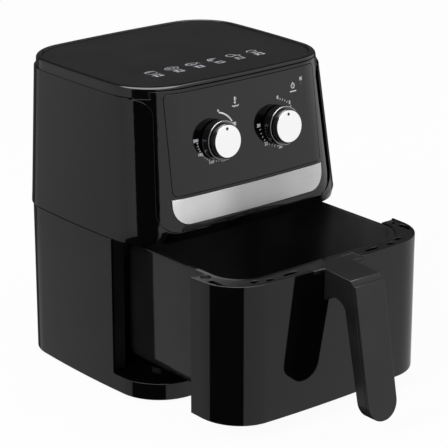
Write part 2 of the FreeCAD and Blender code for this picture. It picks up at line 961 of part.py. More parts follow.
def front_panel():
    """The bezel, with the fascia and the trim strip let into it."""
    zero = as_dim(0)
    plate = boolean(
        "Common", "bezel_plate", skin("bezel_skin", zero, s.bezel_thick),
        prism("bezel_prism", lambda sketch: bezel_outline(sketch, zero, s.bezel_top)),
    )
    flange = boolean(
        "Common", "bezel_flange", skin("flange_skin", s.rebate, s.bezel_thick),
        prism("flange_prism", lambda sketch: rectangle(
            sketch, -s.bezel_half_low - s.flange_width, s.bezel_half_low + s.flange_width,
            s.bezel_low + s.bezel_corner, s.shoulder_z - s.skirt_depth - s.gap,
        )),
    )
    bezel = boolean("Fuse", "bezel_whole", plate, flange)
    holes = [
        panel_cylinder(f"{name}_pass", x, zero, -s.bezel_thick * 2, s.bezel_thick, s.shaft_hole)
        for name, x in (("temperature", -s.knob_x), ("timer", s.knob_x))
    ]
    lamp = panel_cylinder(
        "lamp_pass", s.lamp_x, s.lamp_y, -s.lamp_back, s.bezel_thick, s.lamp_radius + s.fit
    )
    for name, draw in (("fascia", fascia_outline), ("strip", strip_outline)):
        depth = skin(f"{name}_depth", -s.wall, s.inlay)
        hollow = boolean("Common", f"{name}_hollow", depth, prism(f"{name}_room", draw(s.gap)))
        bezel = boolean("Cut", f"bezel_for_{name}", bezel, hollow)
    layer = skin("inlay_skin", zero, s.inlay)
    fascia = boolean("Common", "fascia_plate", layer, prism("fascia_prism", fascia_outline(zero)))
    strip = boolean("Common", "strip_plate", layer, prism("strip_prism", strip_outline(zero)))
    for index, hole in enumerate(holes + [lamp]):
        bezel = boolean("Cut", f"bezel_hole_{index}", bezel, hole)
        fascia = boolean("Cut", f"fascia_hole_{index}", fascia, hole)
    part(bezel, "front_bezel")
    part(fascia, "control_fascia")
    part(strip, "trim_strip")
    lens = panel_cylinder(
        "indicator_lens", s.lamp_x, s.lamp_y, -s.lamp_back, -s.lamp_front, s.lamp_radius
    )
    part(lens, "indicator_lens")


def rear_vent_grille():
    """The slatted grille behind the opening in the back of the sleeve."""
    body = new_body("rear_vent_grille")
    wide, edge = s.vent_half_width, s.grille_margin
    plate = rectangle(
        sketch_on(body, "XZ", -s.grille_back), -wide - edge, wide + edge,
        s.vent_low - edge, s.vent_high + edge,
    )
    pad(body, plate, s.grille_thick)
    pitch = (s.vent_high - s.vent_low) / s.slat_count
    slats = sketch_on(body, "XZ", -s.grille_back)
    cuts = sketch_on(body, "XZ", -s.grille_back)
    inside = wide - s.gap
    for index in range(int(s.slat_count.value)):
        row = s.vent_low + pitch * index
        top = row + s.gap + s.slat_height
        rectangle(slats, -inside, inside, row + s.gap, top)
        rectangle(cuts, -inside, inside, top, row + pitch - s.gap)
    pad(body, slats, s.slat_depth, back=True)
    pocket(body, cuts, s.grille_thick, back=True)
    part(body, "rear_vent_grille")


# The dials and what they turn

def dial(name, x):
    """A stepped knob with a face cap and its shaft."""
    place = panel_place(x)
    zero, low, top = as_dim(0), s.knob_lift, s.knob_top
    knob = new_body(f"{name}_knob", place)
    tilt(knob)
    floor = top - s.knob_recess
    bore = s.shaft_radius + s.fit
    wall = s.knob_rim_radius - s.cap_radius - s.gap
    profile = outline(
        sketch_on(knob, "XZ"),
        (bore, low), (s.knob_hub_radius, low), (s.knob_hub_radius, s.knob_web),
        (s.knob_hollow_radius, s.knob_web), (s.knob_hollow_radius, low), (s.knob_radius, low),
        (s.knob_radius, s.knob_step), (s.knob_neck_radius, s.knob_step),
        (s.knob_neck_radius, s.knob_step + s.knob_groove),
        (s.knob_rim_radius, s.knob_step + s.knob_groove),
        (s.knob_rim_radius, top - s.knob_edge),
        (s.knob_rim_radius - wall, top), (s.knob_rim_radius - wall, floor),
        (zero, floor), (zero, s.knob_web), (bore, s.knob_web),
    )
    revolve(knob, profile)
    part(knob, f"{name}_knob")
    cap = new_body(f"{name}_knob_cap", place)
    tilt(cap)
    high = top + s.cap_proud
    pad(cap, circle(sketch_on(cap, "XY", floor), zero, zero, s.cap_radius), high - floor)
    dot = circle(sketch_on(cap, "XY", high), zero, s.dot_offset, s.dot_radius)
    pocket(cap, dot, s.dot_depth)
    part(cap, f"{name}_knob_cap")
    shaft = panel_cylinder(
        f"{name}_shaft", x, zero, -s.bracket_depth - s.bracket_thick, s.knob_web - s.fit, s.shaft_radius
    )
    part(shaft, f"{name}_shaft")


def control_bracket():
    """The steel plate behind the bezel that carries the thermostat and the timer."""
    body = new_body("control_bracket", panel_place())
    tilt(body)
    w, h = s.bracket_half_width, s.bracket_half_height
    back = -s.bracket_depth - s.bracket_thick
    pad(body, rectangle(sketch_on(body, "XY", back), -w, w, -h, h), s.bracket_thick)
    posts = sketch_on(body, "XY", -s.bracket_depth)
    for x in (-s.post_x, s.post_x):
        for y in (-s.post_y, s.post_y):
            circle(posts, x, y, s.post_radius)
    pad(body, posts, s.bracket_depth - s.post_front)
    holes = sketch_on(body, "XY", -s.bracket_depth)
    for x in (-s.knob_x, s.knob_x):
        circle(holes, x, as_dim(0), s.shaft_hole)
    pocket(body, holes, s.bracket_thick)
    part(body, "control_bracket")


def control(name, x, half_width, half_height, depth):
    """The boxed body of a control on the back of the bracket."""
    body = new_body(name, panel_place(x))
    tilt(body)
    back = -s.bracket_depth - s.bracket_thick
    box = rectangle(sketch_on(body, "XY", back), -half_width, half_width, -half_height, half_height)
    pad(body, box, depth, back=True)
    return part(body, name)


def timer_bell():
    """The bell cup on the back of the timer."""
    body = new_body("timer_bell", panel_place(s.knob_x))
    tilt(body)
    low = -s.bracket_depth - s.bracket_thick - s.timer_depth
    zero, inner = as_dim(0), s.bell_radius - s.bell_wall
    cup = outline(
        sketch_on(body, "XZ"),
        (zero, low - s.bell_height), (s.bell_radius, low - s.bell_height), (s.bell_radius, low),
        (inner, low), (inner, low - s.bell_height + s.bell_wall),
        (zero, low - s.bell_height + s.bell_wall),
    )
    revolve(body, cup)
    part(body, "timer_bell")


# The bay and its rails

def bay_liner():
    """The tunnel that the pan runs in, with a bulkhead across to the base's walls."""
    body = new_body("bay_liner")
    wide, back = s.bay_half_width, s.bay_back
    out, rear, front = wide + s.bay_wall, back + s.bay_wall, -s.bay_front
    height = s.seam_z - s.floor_top
    inner, outer = s.bay_corner, s.bay_corner + s.bay_wall
    walls = outline(
        sketch_on(body, "XY", s.floor_top),
        (wide, front), (out, front), (out, rear - outer, outer), (out - outer, rear),
        (outer - out, rear, outer), (-out, rear - outer), (-out, front), (-wide, front),
        (-wide, back - inner, -inner), (inner - wide, back),
        (wide - inner, back, -inner), (wide, back - inner),
    )
    pad(body, walls, height)
    for near, far in ((wide, s.bulkhead_half_width), (-s.bulkhead_half_width, -wide)):
        sheet_part = rectangle(
            sketch_on(body, "XY", s.floor_top), near, far, front - s.bay_wall, front
        )
        pad(body, sheet_part, height)
    hole = circle(
        sketch_on(body, "XZ", -rear), s.switch_x, s.switch_z, s.plunger_radius + s.fit
    )
    pocket(body, hole, s.bay_wall, back=True)
    part(body, "bay_liner")


def rail_z(y, lift=0):
    """The sloping running line of the rails, which rises towards the back."""
    return s.rail_mid_z + TRAVEL_SLOPE * y + lift


def wedges(name, place, low, high, front, back):
    """A pair of long wedges, one on each side, each between two heights given at both ends."""
    pair = []
    for index, x in enumerate((-s.rail_x, s.rail_x)):
        body = new_body(f"{name}_{index}", shifted(place, x, 0, 0))
        side = outline(
            sketch_on(body, "YZ"),
            (front, low(front)), (back, low(back)), (back, high(back)), (front, high(front)),
        )
        pad(body, side, s.rail_half_width * 2, both=True)
        pair.append(body)
    part(group(name, pair), name)


def rails():
    """The sloping floor rails and the matching skids under the pan."""
    floor = s.floor_top + s.platform_height
    wedges("floor_rails", HOUSING, lambda y: floor, rail_z, -s.rail_front, s.rail_back)
    wedges(
        "pan_skids", DRAWER, lambda y: rail_z(y, s.rail_gap), lambda y: s.pan_low,
        -s.rail_front, s.rail_back,
    )


# The heating chamber, the fans and the motor

def chamber_plan(sketch, grow):
    """The chamber's plan outline, grown all round."""
    wide = s.chamber_half_width + grow
    return rounded(
        sketch, -wide, wide, -s.chamber_front - grow, s.chamber_back + grow, s.chamber_corner + grow
    )


def heating_chamber():
    """The steel hood over the pan, standing on the bay by a flange."""
    body = new_body("heating_chamber")
    zero = as_dim(0)
    pad(body, chamber_plan(sketch_on(body, "XY", s.seam_z), zero), s.chamber_top - s.seam_z)
    pad(body, chamber_plan(sketch_on(body, "XY", s.seam_z), s.chamber_flange), s.sheet)
    inside = chamber_plan(sketch_on(body, "XY", s.seam_z), -s.sheet)
    pocket(body, inside, s.chamber_top - s.seam_z - s.sheet, back=True)
    hole = circle(sketch_on(body, "XY", s.chamber_top), zero, s.fan_y, s.shaft_pass)
    pocket(body, hole, s.sheet)
    part(body, "heating_chamber")


HALF_TURNS = 5


def heating_element():
    """A spiral of flattened tube: half turns about two centres, each wider than the last."""
    body = new_body("heating_element", shifted(HOUSING, 0, s.fan_y, s.element_z))
    path = sketch_on(body, "XY")
    step = s.element_pitch / 2
    edges = []
    for index in range(HALF_TURNS):
        radius = s.element_radius + step * index
        centre = step if index % 2 else as_dim(0)
        shape = Part.Circle(Vector(centre.value, 0, 0), UP, radius.value)
        begin = math.pi * (index % 2)
        edges.append(path.addGeometry(Part.ArcOfCircle(shape, begin, begin + math.pi)))
        constrain(path, radius, "Radius", edges[-1])
        constrain(path, as_dim(0), "DistanceY", -1, 1, edges[-1], END)
    pin(path, edges[0], CENTRE, as_dim(0), as_dim(0))
    constrain(path, as_dim(0), "DistanceY", -1, 1, edges[0], START)
    for before, after in zip(edges, edges[1:]):
        path.addConstraint(Sketcher.Constraint("Tangent", before, END, after, START))
    inner, outer = s.element_radius - s.element_tube, s.element_radius + s.element_tube
    pipe = body.newObject("PartDesign::AdditivePipe", "element_pipe")
    pipe.Profile = rectangle(sketch_on(body, "XZ"), inner, outer, -s.element_flat, s.element_flat)
    pipe.Spine = path
    body.Tip = pipe
    part(body, "heating_element")


def element_terminals():
    """Two ceramic blocks that stand on the guard and hold the element's ends."""
    blocks = []
    end = s.element_radius + s.element_pitch / 2 * (HALF_TURNS - 1)
    half, low = s.terminal_half, s.guard_z + s.guard_bar - s.element_z
    for index, x in enumerate((s.element_radius, -end)):
        body = new_body(f"terminal_{index}", shifted(HOUSING, x, s.fan_y, s.element_z))
        base = rectangle(sketch_on(body, "XY", low), -half, half, -half * 2, as_dim(0))
        pad(body, base, half - low)
        blocks.append(body)
    part(group("element_terminals", blocks), "element_terminals")


def element_guard():
    """The flat guard under the element: two rings, round bars and a cross bar to the walls."""
    body = new_body("element_guard", shifted(HOUSING, 0, s.fan_y, s.guard_z))
    zero = as_dim(0)
    rings = sketch_on(body, "XY")
    circle(rings, zero, zero, s.guard_outer)
    circle(rings, zero, zero, s.guard_outer - s.guard_ring)
    pad(body, rings, s.guard_bar)
    middle = sketch_on(body, "XY")
    reach = s.chamber_half_width - s.sheet
    rectangle(middle, -reach, reach, -s.guard_ring, s.guard_ring)
    pad(body, middle, s.guard_bar)
    bar = sketch_on(body, "XY")
    inner, half = s.guard_inner - s.guard_ring, s.guard_bar
    rectangle(bar, inner, s.guard_outer - s.guard_ring / 2, -half, half)
    around(body, pad(body, bar, s.guard_bar), bar, s.guard_bars)
    hub = sketch_on(body, "XY")
    circle(hub, zero, zero, s.guard_inner)
    circle(hub, zero, zero, s.guard_inner - s.guard_ring)
    pad(body, hub, s.guard_bar)
    part(body, "element_guard")


def fan(name, z, radius, height, count, hang):
    """A fan disc with upright blades below or above it and a hub on the spindle."""
    body = new_body(name, shifted(HOUSING, 0, s.fan_y, z))
    zero, bore = as_dim(0), s.spindle_radius + s.fit
    disc = circle(sketch_on(body, "XY"), zero, zero, radius)
    circle(disc, zero, zero, bore)
    pad(body, disc, s.sheet)
    start = zero if hang else s.sheet
    hub = circle(sketch_on(body, "XY", start), zero, zero, s.hub_radius)
    circle(hub, zero, zero, bore)
    pad(body, hub, height, back=hang)
    blade = sketch_on(body, "XY", start)
    rectangle(blade, s.blade_root, radius - s.sheet, -s.sheet / 2, s.sheet / 2)
    around(body, pad(body, blade, height, back=hang), blade, count)
    part(body, name)


def spindle():
    """The motor's shaft, its two fans and the nut under the lower fan."""
    place = shifted(HOUSING, 0, s.fan_y, s.spindle_low)
    shaft = cylinder("motor_shaft", s.spindle_radius, s.spindle_high - s.spindle_low, place)
    part(shaft, "motor_shaft")
    fan("convection_fan", s.hot_fan_z, s.hot_fan_radius, s.hot_blade, s.hot_blades, True)
    fan("cooling_fan", s.cool_fan_z - s.cool_blade, s.cool_fan_radius, s.cool_blade, s.cool_blades, False)
    hexagon = doc.addObject("Part::Prism", "nut_blank")
    bind(hexagon, "Circumradius", s.nut_radius)
    bind(hexagon, "Height", s.nut_height)
    low = s.hot_fan_z - s.hot_blade - s.nut_height
    move(hexagon, shifted(HOUSING, 0, s.fan_y, low))
    hole = cylinder(
        "nut_hole", s.spindle_radius + s.fit, s.nut_height, shifted(HOUSING, 0, s.fan_y, low)
    )
    part(boolean("Cut", "fan_nut", hexagon, hole), "fan_nut")


def fan_baffle():
    """The plate over the chamber that keeps its heat from the motor, on four posts."""
    body = new_body("fan_baffle")
    wide = s.baffle_half_width
    plate = rectangle(sketch_on(body, "XY", s.baffle_z), -wide, wide, -s.baffle_front, s.baffle_back)
    pad(body, plate, s.sheet)
    posts = sketch_on(body, "XY", s.chamber_top)
    for x in (-s.baffle_post_x, s.baffle_post_x):
        for y in (-s.baffle_post_front, s.baffle_post_back):
            circle(posts, x, y, s.baffle_post_radius)
    pad(body, posts, s.baffle_z - s.chamber_top)
    hole = circle(sketch_on(body, "XY", s.baffle_z + s.sheet), as_dim(0), s.fan_y, s.shaft_pass)
    pocket(body, hole, s.sheet)
    part(body, "fan_baffle")


def motor_bracket():
    """The bridge on the baffle that carries the motor over the cooling fan."""
    body = new_body("motor_bracket", shifted(HOUSING, 0, s.fan_y, 0))
    wide, deep, leg = s.bridge_half_width, s.bridge_half_depth, s.bridge_leg
    low = s.baffle_z + s.sheet
    arch = outline(
        sketch_on(body, "XZ"),
        (-wide, low), (leg - wide, low), (leg - wide, s.bridge_z), (wide - leg, s.bridge_z),
        (wide - leg, low), (wide, low), (wide, s.bridge_z + leg), (-wide, s.bridge_z + leg),
    )
    pad(body, arch, deep * 2, both=True)
    hole = circle(sketch_on(body, "XY", s.bridge_z + leg), as_dim(0), as_dim(0), s.shaft_pass)
    pocket(body, hole, leg)
    part(body, "motor_bracket")


def motor():
    """The motor's can with a bearing neck at each end."""
    body = new_body("motor", shifted(HOUSING, 0, s.fan_y, 0))
    bore, low = s.spindle_radius + s.fit, s.bridge_z + s.bridge_leg
    can = outline(
        sketch_on(body, "XZ"),
        (bore, low), (s.motor_radius, low), (s.motor_radius, s.motor_top - s.motor_shoulder),
        (s.motor_neck_radius, s.motor_top - s.motor_shoulder),
        (s.motor_neck_radius, s.motor_top), (bore, s.motor_top),
    )
    revolve(body, can)
    part(body, "motor")


def thermal_fuse():
    """The thermal fuse's block on top of the chamber."""
    place = shifted(HOUSING, s.fuse_x, s.fuse_y, s.chamber_top)
    body = new_body("thermal_fuse", place)
    w, d = s.fuse_half_length, s.fuse_half_width
    pad(body, rectangle(sketch_on(body, "XY"), -w, w, -d, d), s.fuse_height)
    part(body, "thermal_fuse")


def interlock():
    """The switch behind the bay and the plunger that the closed drawer presses."""
    body = new_body("interlock_switch")
    w, h, face = s.switch_half_width, s.switch_half_height, s.bay_back + s.bay_wall
    case = rectangle(
        sketch_on(body, "XZ", -face), s.switch_x - w, s.switch_x + w, s.switch_z - h, s.switch_z + h
    )
    pad(body, case, s.switch_depth, back=True)
    hole = circle(
        sketch_on(body, "XZ", -face), s.switch_x, s.switch_z, s.plunger_radius + s.fit
    )
    pocket(body, hole, s.switch_depth / 2 + s.sheet)
    part(body, "interlock_switch")
    plunger = new_body("switch_plunger")
    pin_end = circle(
        sketch_on(plunger, "XZ", -s.plunger_back + s.sheet), s.switch_x, s.switch_z, s.plunger_radius
    )
    pad(plunger, pin_end, s.plunger_back - s.plunger_tip - s.sheet)
    part(plunger, "switch_plunger")


# The drawer

FRONT_PLAN = Plan(s.front_half_width, s.front_front, s.base_back, s.front_corner)


def behind(body, z, y):
    """A sketch of all that lies behind one line across the drawer."""
    wide = s.half_width
    return rectangle(sketch_on(body, "XY", z), -wide, wide, -y, s.base_back + s.wall)


def drawer_front():
    """The drawer's curved front with a wing on each side."""
    body = new_body("drawer_front", DRAWER)
    height = s.front_high - s.front_low
    pad(body, squircle(sketch_on(body, "XY", s.front_low), FRONT_PLAN), height)
    pocket(body, behind(body, s.front_high, s.wing_back), height)
    inside = FRONT_PLAN.inset(s.front_wall)
    hollow = squircle(sketch_on(body, "XY", s.front_high), inside)
    pocket(body, hollow, height)
    slope = TRAVEL_SLOPE * (s.front_front - s.wing_back)
    clear = outline(
        sketch_on(body, "YZ"),
        (-s.front_front, s.front_low), (-s.wing_back, s.front_low), (-s.wing_back, s.front_low + slope),
    )
    pocket(body, clear, s.half_width * 2, both=True)
    notch_wide = s.flange_half_width + s.gap
    notch = rectangle(
        sketch_on(body, "XZ", s.front_front + s.wall), -notch_wide, notch_wide,
        s.frame_top - s.flange_thick - s.seat_gap, s.front_high + s.wall,
    )
    pocket(body, notch, s.front_cut)
    holes = sketch_on(body, "XZ", s.front_front + s.wall)
    for x in (-s.handle_screw_x, s.handle_screw_x):
        circle(holes, x, s.handle_screw_z, s.screw_radius + s.gap)
    pocket(body, holes, s.front_cut)
    part(body, "drawer_front")


def pan_plan(sketch, grow):
    """The pan's plan outline, grown all round."""
    wide = s.pan_half_width + grow
    return rounded(sketch, -wide, wide, -s.pan_front - grow, s.pan_back + grow, s.pan_corner + grow)


def pan_block(name, low, high, grow, corner):
    """A solid block in the pan's plan, with a round bottom edge."""
    body = new_body(name, DRAWER)
    pad(body, pan_plan(sketch_on(body, "XY", low), grow), high - low)
    near_bottom = (low + s.fit).value
    round_off(body, corner, lambda box: box.ZMax < near_bottom)
    return body


def pan():
    """The pressed pan with a round bottom edge and a flat rim."""
    outside = pan_block("pan_outside", s.pan_low, s.pan_high, as_dim(0), s.pan_bottom_radius)
    rim = pan_plan(sketch_on(outside, "XY", s.pan_high - s.pan_wall), s.pan_rim)
    pad(outside, rim, s.pan_wall)
    inside = pan_block(
        "pan_inside", s.pan_low + s.pan_wall, s.pan_high + s.pan_wall, -s.pan_wall,
        s.pan_bottom_radius - s.pan_wall,
    )
    part(boolean("Cut", "pan", outside, inside), "pan")


def drawer_top_frame():
    """The frame between the pan's rim and the drawer's front, with its moulded openings."""
    body = new_body("drawer_top_frame", DRAWER)
    low, top, deep = s.frame_top - s.frame_thick, s.frame_top, s.frame_thick
    plan = FRONT_PLAN.inset(s.front_wall + s.seat_gap)
    pad(body, squircle(sketch_on(body, "XY", low), plan), deep)
    pocket(body, behind(body, top, s.frame_back), deep)
    pocket(body, pan_plan(sketch_on(body, "XY", top), s.gap), deep)
    seat = top - s.pan_high + s.pan_wall
    pocket(body, pan_plan(sketch_on(body, "XY", top), s.pan_rim + s.gap), seat)
    cuts = sketch_on(body, "XY", top)
    wide = s.flange_half_width + s.gap
    rectangle(cuts, -wide, wide, -s.base_front, s.gap - s.handle_root)
    for side in (-1, 1):
        for x, y, half_w, half_d in (
            (s.slot_x, s.slot_y, s.slot_half_width, s.slot_half_depth),
            (s.hole_x, s.slot_y, s.hole_half_width, s.slot_half_depth),
            (s.corner_hole_x, s.corner_hole_y, s.hole_half_width, s.slot_half_depth),
            (s.hook_x, s.hook_y, s.hook_half_width, s.hook_half_length),
        ):
            rectangle(cuts, x * side - half_w, x * side + half_w, -y - half_d, half_d - y)
    pocket(body, cuts, deep)
    scoops = sketch_on(body, "XY", top)
    for side in (-1, 1):
        circle(scoops, s.scoop_x * side, -s.scoop_y, s.scoop_radius)
    pocket(body, scoops, deep / 2)
    part(body, "drawer_top_frame")


SLOT_COLUMNS, SLOT_LINES = 2, 3


def crisper_plate():
    """The slotted plate that lifts out of the pan, with a round finger hole in the middle."""
    body = new_body("crisper_plate", DRAWER)
    low = s.pan_low + s.pan_wall + s.plate_lift
    pad(body, pan_plan(sketch_on(body, "XY", low), -s.pan_wall - s.plate_gap), s.plate_thick)
    cuts = sketch_on(body, "XY", low + s.plate_thick)
    middle = (s.pan_back - s.pan_front) / 2
    circle(cuts, as_dim(0), middle, s.plate_ring_radius)
    half_l, half_w = s.plate_slot_half_length, s.plate_slot_half_width
    for column in range(-SLOT_COLUMNS, SLOT_COLUMNS + 1):
        for line in range(-SLOT_LINES, SLOT_LINES + 1):
            if (column, line) != (0, 0):
                x, y = s.plate_slot_pitch_x * column, middle + s.plate_slot_pitch_y * line
                rectangle(cuts, x - half_l, x + half_l, y - half_w, y + half_w)
    pocket(body, cuts, s.plate_thick)
    part(body, "crisper_plate")
    bumpers = [
        cylinder(
            f"bumper_{index}", s.bumper_radius, s.plate_lift,
            shifted(DRAWER, x, y, s.pan_low + s.pan_wall),
        )
        for index, (x, y) in enumerate(
            (x, y) for x in (-s.bumper_x, s.bumper_x) for y in (-s.bumper_front, s.bumper_back)
        )
    ]
    part(group("crisper_bumpers", bumpers), "crisper_bumpers")


def round_tip(body):
    """Round both lower corners of the blade, seen from the front."""
    wide, low, r, over = s.handle_half_width, s.blade_tip_z, s.tip_radius, s.wall
    corners = sketch_on(body, "XZ", s.handle_wall)
    outline(
        corners,
        (wide - r, low - over), (wide + over, low - over), (wide + over, low + r),
        (wide, low + r, -r), (wide - r, low),
    )
    outline(
        corners,
        (r - wide, low - over), (r - wide, low, -r), (-wide, low + r),
        (-wide - over, low + r), (-wide - over, low - over),
    )
    pocket(body, corners, s.base_front, back=True)


def handle():
    """The handle: a flange on the drawer's frame, an arched arm and a leaning blade, with its cover."""
    body = new_body("handle", DRAWER)
    low = s.frame_top - s.flange_thick
    side = outline(
        sketch_on(body, "YZ"),
        (-s.handle_root, s.frame_top), (-s.handle_bend, s.frame_top),
        (-s.handle_nose, s.handle_nose_z), (-s.blade_top, s.blade_top_z),
        (-s.blade_tip, s.blade_tip_z), (s.blade_thick - s.blade_tip, s.blade_tip_z),
        (s.blade_thick - s.blade_top + s.blade_cover_lap - s.blade_cover, s.saddle_z, -s.saddle_radius),
        (-s.handle_wall, s.saddle_z), (-s.handle_wall, low), (-s.handle_root, low),
    )
    pad(body, side, s.handle_half_width * 2, both=True)
    wide = s.flange_half_width
    flange = rectangle(
        sketch_on(body, "XY", low), -wide, wide, -s.handle_wall, -s.handle_root
    )
    pad(body, flange, s.flange_thick)
    round_tip(body)
    holes = sketch_on(body, "XZ", s.handle_wall)
    for x in (-s.handle_screw_x, s.handle_screw_x):
        circle(holes, x, s.handle_screw_z, s.screw_radius + s.fit)
    pocket(body, holes, s.handle_screw_reach, back=True)
    part(body, "handle")
    cover = new_body("handle_cover", DRAWER)
    face = outline(
        sketch_on(cover, "YZ"),
        (-s.blade_top, s.blade_top_z), (-s.blade_tip, s.blade_tip_z),
        (-s.blade_tip - s.blade_cover, s.blade_tip_z), (-s.blade_top - s.blade_cover, s.blade_top_z),
    )
    pad(cover, face, s.handle_half_width * 2, both=True)
    round_tip(cover)
    part(cover, "handle_cover")
    inner = s.front_front - s.front_wall - s.seat_gap
    lean = Rotation(Vector(1, 0, 0), FACE_UP)
    screws = [
        screw(f"handle_screw_{index}", shifted(DRAWER, x, -inner, s.handle_screw_z),
              s.handle_screw_reach, lean)
        for index, x in enumerate((-s.handle_screw_x, s.handle_screw_x))
    ]
    part(group("handle_screws", screws), "handle_screws")


base_shell()
bottom_cover()
feet()
base_screws()
cord_gland()
terminal_block()
upper_housing()
top_cover()
top_panel()
front_panel()
rear_vent_grille()
dial("temperature", -s.knob_x)
dial("timer", s.knob_x)
control_bracket()
control("thermostat", -s.knob_x, s.thermostat_half_width, s.thermostat_half_height, s.thermostat_depth)
control("timer", s.knob_x, s.timer_half_width, s.timer_half_height, s.timer_depth)
timer_bell()
bay_liner()
rails()
heating_chamber()
heating_element()
element_terminals()
element_guard()
spindle()
fan_baffle()
motor_bracket()
motor()
thermal_fuse()
interlock()
drawer_front()
pan()
drawer_top_frame()
crisper_plate()
handle()

doc.recompute()
failed = [thing.Name for thing in doc.Objects if "Invalid" in thing.State or "Error" in thing.State]
if failed:
    raise RuntimeError(f"these objects failed: {failed}")
for thing in SUB_PARTS:
    if thing.Shape.isNull() or not thing.Shape.isValid():
        raise RuntimeError(f"{thing.Label} has no valid shape")
os.makedirs("parts", exist_ok=True)
for thing in SUB_PARTS:
    thing.Shape.exportStep(f"parts/{thing.Label}.step")
    print(thing.Label, len(thing.Shape.Solids), round(thing.Shape.Volume))
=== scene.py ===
import json
import math
import bmesh
import bpy
from mathutils import Matrix, Vector
from mathutils.bvhtree import BVHTree
from mathutils.geometry import barycentric_transform


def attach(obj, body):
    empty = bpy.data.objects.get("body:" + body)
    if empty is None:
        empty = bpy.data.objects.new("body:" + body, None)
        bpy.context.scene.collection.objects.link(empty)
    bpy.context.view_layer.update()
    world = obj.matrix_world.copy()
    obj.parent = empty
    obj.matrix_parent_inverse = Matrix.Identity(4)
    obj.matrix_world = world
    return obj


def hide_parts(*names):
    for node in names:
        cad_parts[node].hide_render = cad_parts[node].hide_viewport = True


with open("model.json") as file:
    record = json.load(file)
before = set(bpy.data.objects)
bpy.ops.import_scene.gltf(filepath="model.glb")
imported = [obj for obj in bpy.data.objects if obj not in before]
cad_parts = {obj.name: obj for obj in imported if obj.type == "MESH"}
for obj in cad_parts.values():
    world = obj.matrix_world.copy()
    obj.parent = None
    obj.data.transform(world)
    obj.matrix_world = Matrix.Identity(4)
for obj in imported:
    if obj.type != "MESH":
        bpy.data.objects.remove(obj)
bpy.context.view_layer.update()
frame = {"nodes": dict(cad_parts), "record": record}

MM = 0.001
scene = bpy.context.scene
record = frame["record"]
BODY = {node: body for body, nodes in record["behaviour"]["bodies"].items() for node in nodes}
SLOT = {entry["node"]: entry["material_slot"] for entry in record["subparts"]}


def add_piece(name, mesh, body):
    """A mesh as a piece that rides on a body."""
    piece = bpy.data.objects.new(name, mesh)
    scene.collection.objects.link(piece)
    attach(piece, body)
    return piece


# Materials: noise in features per metre, heights of relief in metres

# Shares of red, green and blue in moulded plastic: its plain tone and both ends of its drift.
PLAIN_TONE = (1.0, 1.0, 1.06)
DARK_TONE = (0.8, 0.8, 0.85)
LIGHT_TONE = (1.2, 1.2, 1.27)
DRIFT_NOISE = 22.0
GRAIN_HEIGHT = 0.0002
# The part of a noise's range over which a tint goes from dark to light.
TINT_FROM = 0.35
TINT_TO = 0.65
BRUSH_NOISE = 420.0
BRUSH_SPREAD = 0.12
BRUSH_DARK = 0.88
BRUSH_LIGHT = 1.06
BRUSH_RELIEF = 0.08
BRUSH_HEIGHT = 0.0001
SATIN_DRIFT = 60.0
SATIN_SPREAD = 0.03
SATIN_DARK = 0.98
SATIN_NOISE = 5200.0
SATIN_RELIEF = 0.02
SATIN_HEIGHT = 0.00005
# The strip's half length in metres, and its tone from the left end to the right. This tone is a painted
# reflection: lightest at the left end, darkest in the middle, lighter again at the right.
STRIP_HALF = 0.0955
STRIP_PAINTED_REFLECTION = ((0.0, 0.80), (0.22, 0.66), (0.45, 0.41), (0.62, 0.41), (0.85, 0.49), (1.0, 0.56))
STRIP_NOISE = 700.0
STRIP_STREAKS = 0.12
STRIP_ROUGH = (0.24, 0.40)
STRIP_RELIEF = 0.05


def shader(name, colour, roughness, metallic=0.0, specular=0.5):
    """A principled material with constant sockets, and its nodes."""
    made = bpy.data.materials.new(name)
    made.use_nodes = True
    nodes, links = made.node_tree.nodes, made.node_tree.links
    bsdf = nodes["Principled BSDF"]
    bsdf.inputs["Base Color"].default_value = (*colour, 1.0)
    bsdf.inputs["Roughness"].default_value = roughness
    bsdf.inputs["Metallic"].default_value = metallic
    bsdf.inputs["Specular IOR Level"].default_value = specular
    return made, nodes, links, bsdf


def place_noise(nodes, links, scale, detail=2.0, stretch=(1, 1, 1)):
    """The value of a noise that is fixed to the object."""
    where = nodes.new("ShaderNodeTexCoord")
    squeeze = nodes.new("ShaderNodeMapping")
    squeeze.inputs["Scale"].default_value = stretch
    noise = nodes.new("ShaderNodeTexNoise")
    noise.inputs["Scale"].default_value = scale
    noise.inputs["Detail"].default_value = detail
    links.new(where.outputs["Object"], squeeze.inputs["Vector"])
    links.new(squeeze.outputs["Vector"], noise.inputs["Vector"])
    return noise.outputs["Fac"]


def span(nodes, links, source, low, high, target):
    """A noise value spread between two numbers on to a socket."""
    spread = nodes.new("ShaderNodeMapRange")
    spread.inputs["To Min"].default_value = low
    spread.inputs["To Max"].default_value = high
    links.new(source, spread.inputs["Value"])
    links.new(spread.outputs["Result"], target)


def set_stops(ramp, stops):
    """The greys of a colour ramp, in order."""
    while len(ramp.elements) > 1:
        ramp.elements.remove(ramp.elements[-1])
    ramp.elements[0].position = stops[0][0]
    for position, _ in stops[1:]:
        ramp.elements.new(position)
    for element, (_, shade) in zip(ramp.elements, stops):
        element.color = (shade, shade, shade, 1)


def tint(nodes, links, source, dark, light, target):
    """A noise value turned into a colour between two shades."""
    ramp = nodes.new("ShaderNodeValToRGB")
    ramp.color_ramp.elements[0].position = TINT_FROM
    ramp.color_ramp.elements[1].position = TINT_TO
    ramp.color_ramp.elements[0].color = (*dark, 1)
    ramp.color_ramp.elements[1].color = (*light, 1)
    links.new(source, ramp.inputs["Fac"])
    links.new(ramp.outputs["Color"], target)


def relief(nodes, links, source, strength, height, bsdf):
    """A fine bump from a noise value."""
    bump = nodes.new("ShaderNodeBump")
    bump.inputs["Strength"].default_value = strength
    bump.inputs["Distance"].default_value = height
    links.new(source, bump.inputs["Height"])
    links.new(bump.outputs["Normal"], bsdf.inputs["Normal"])


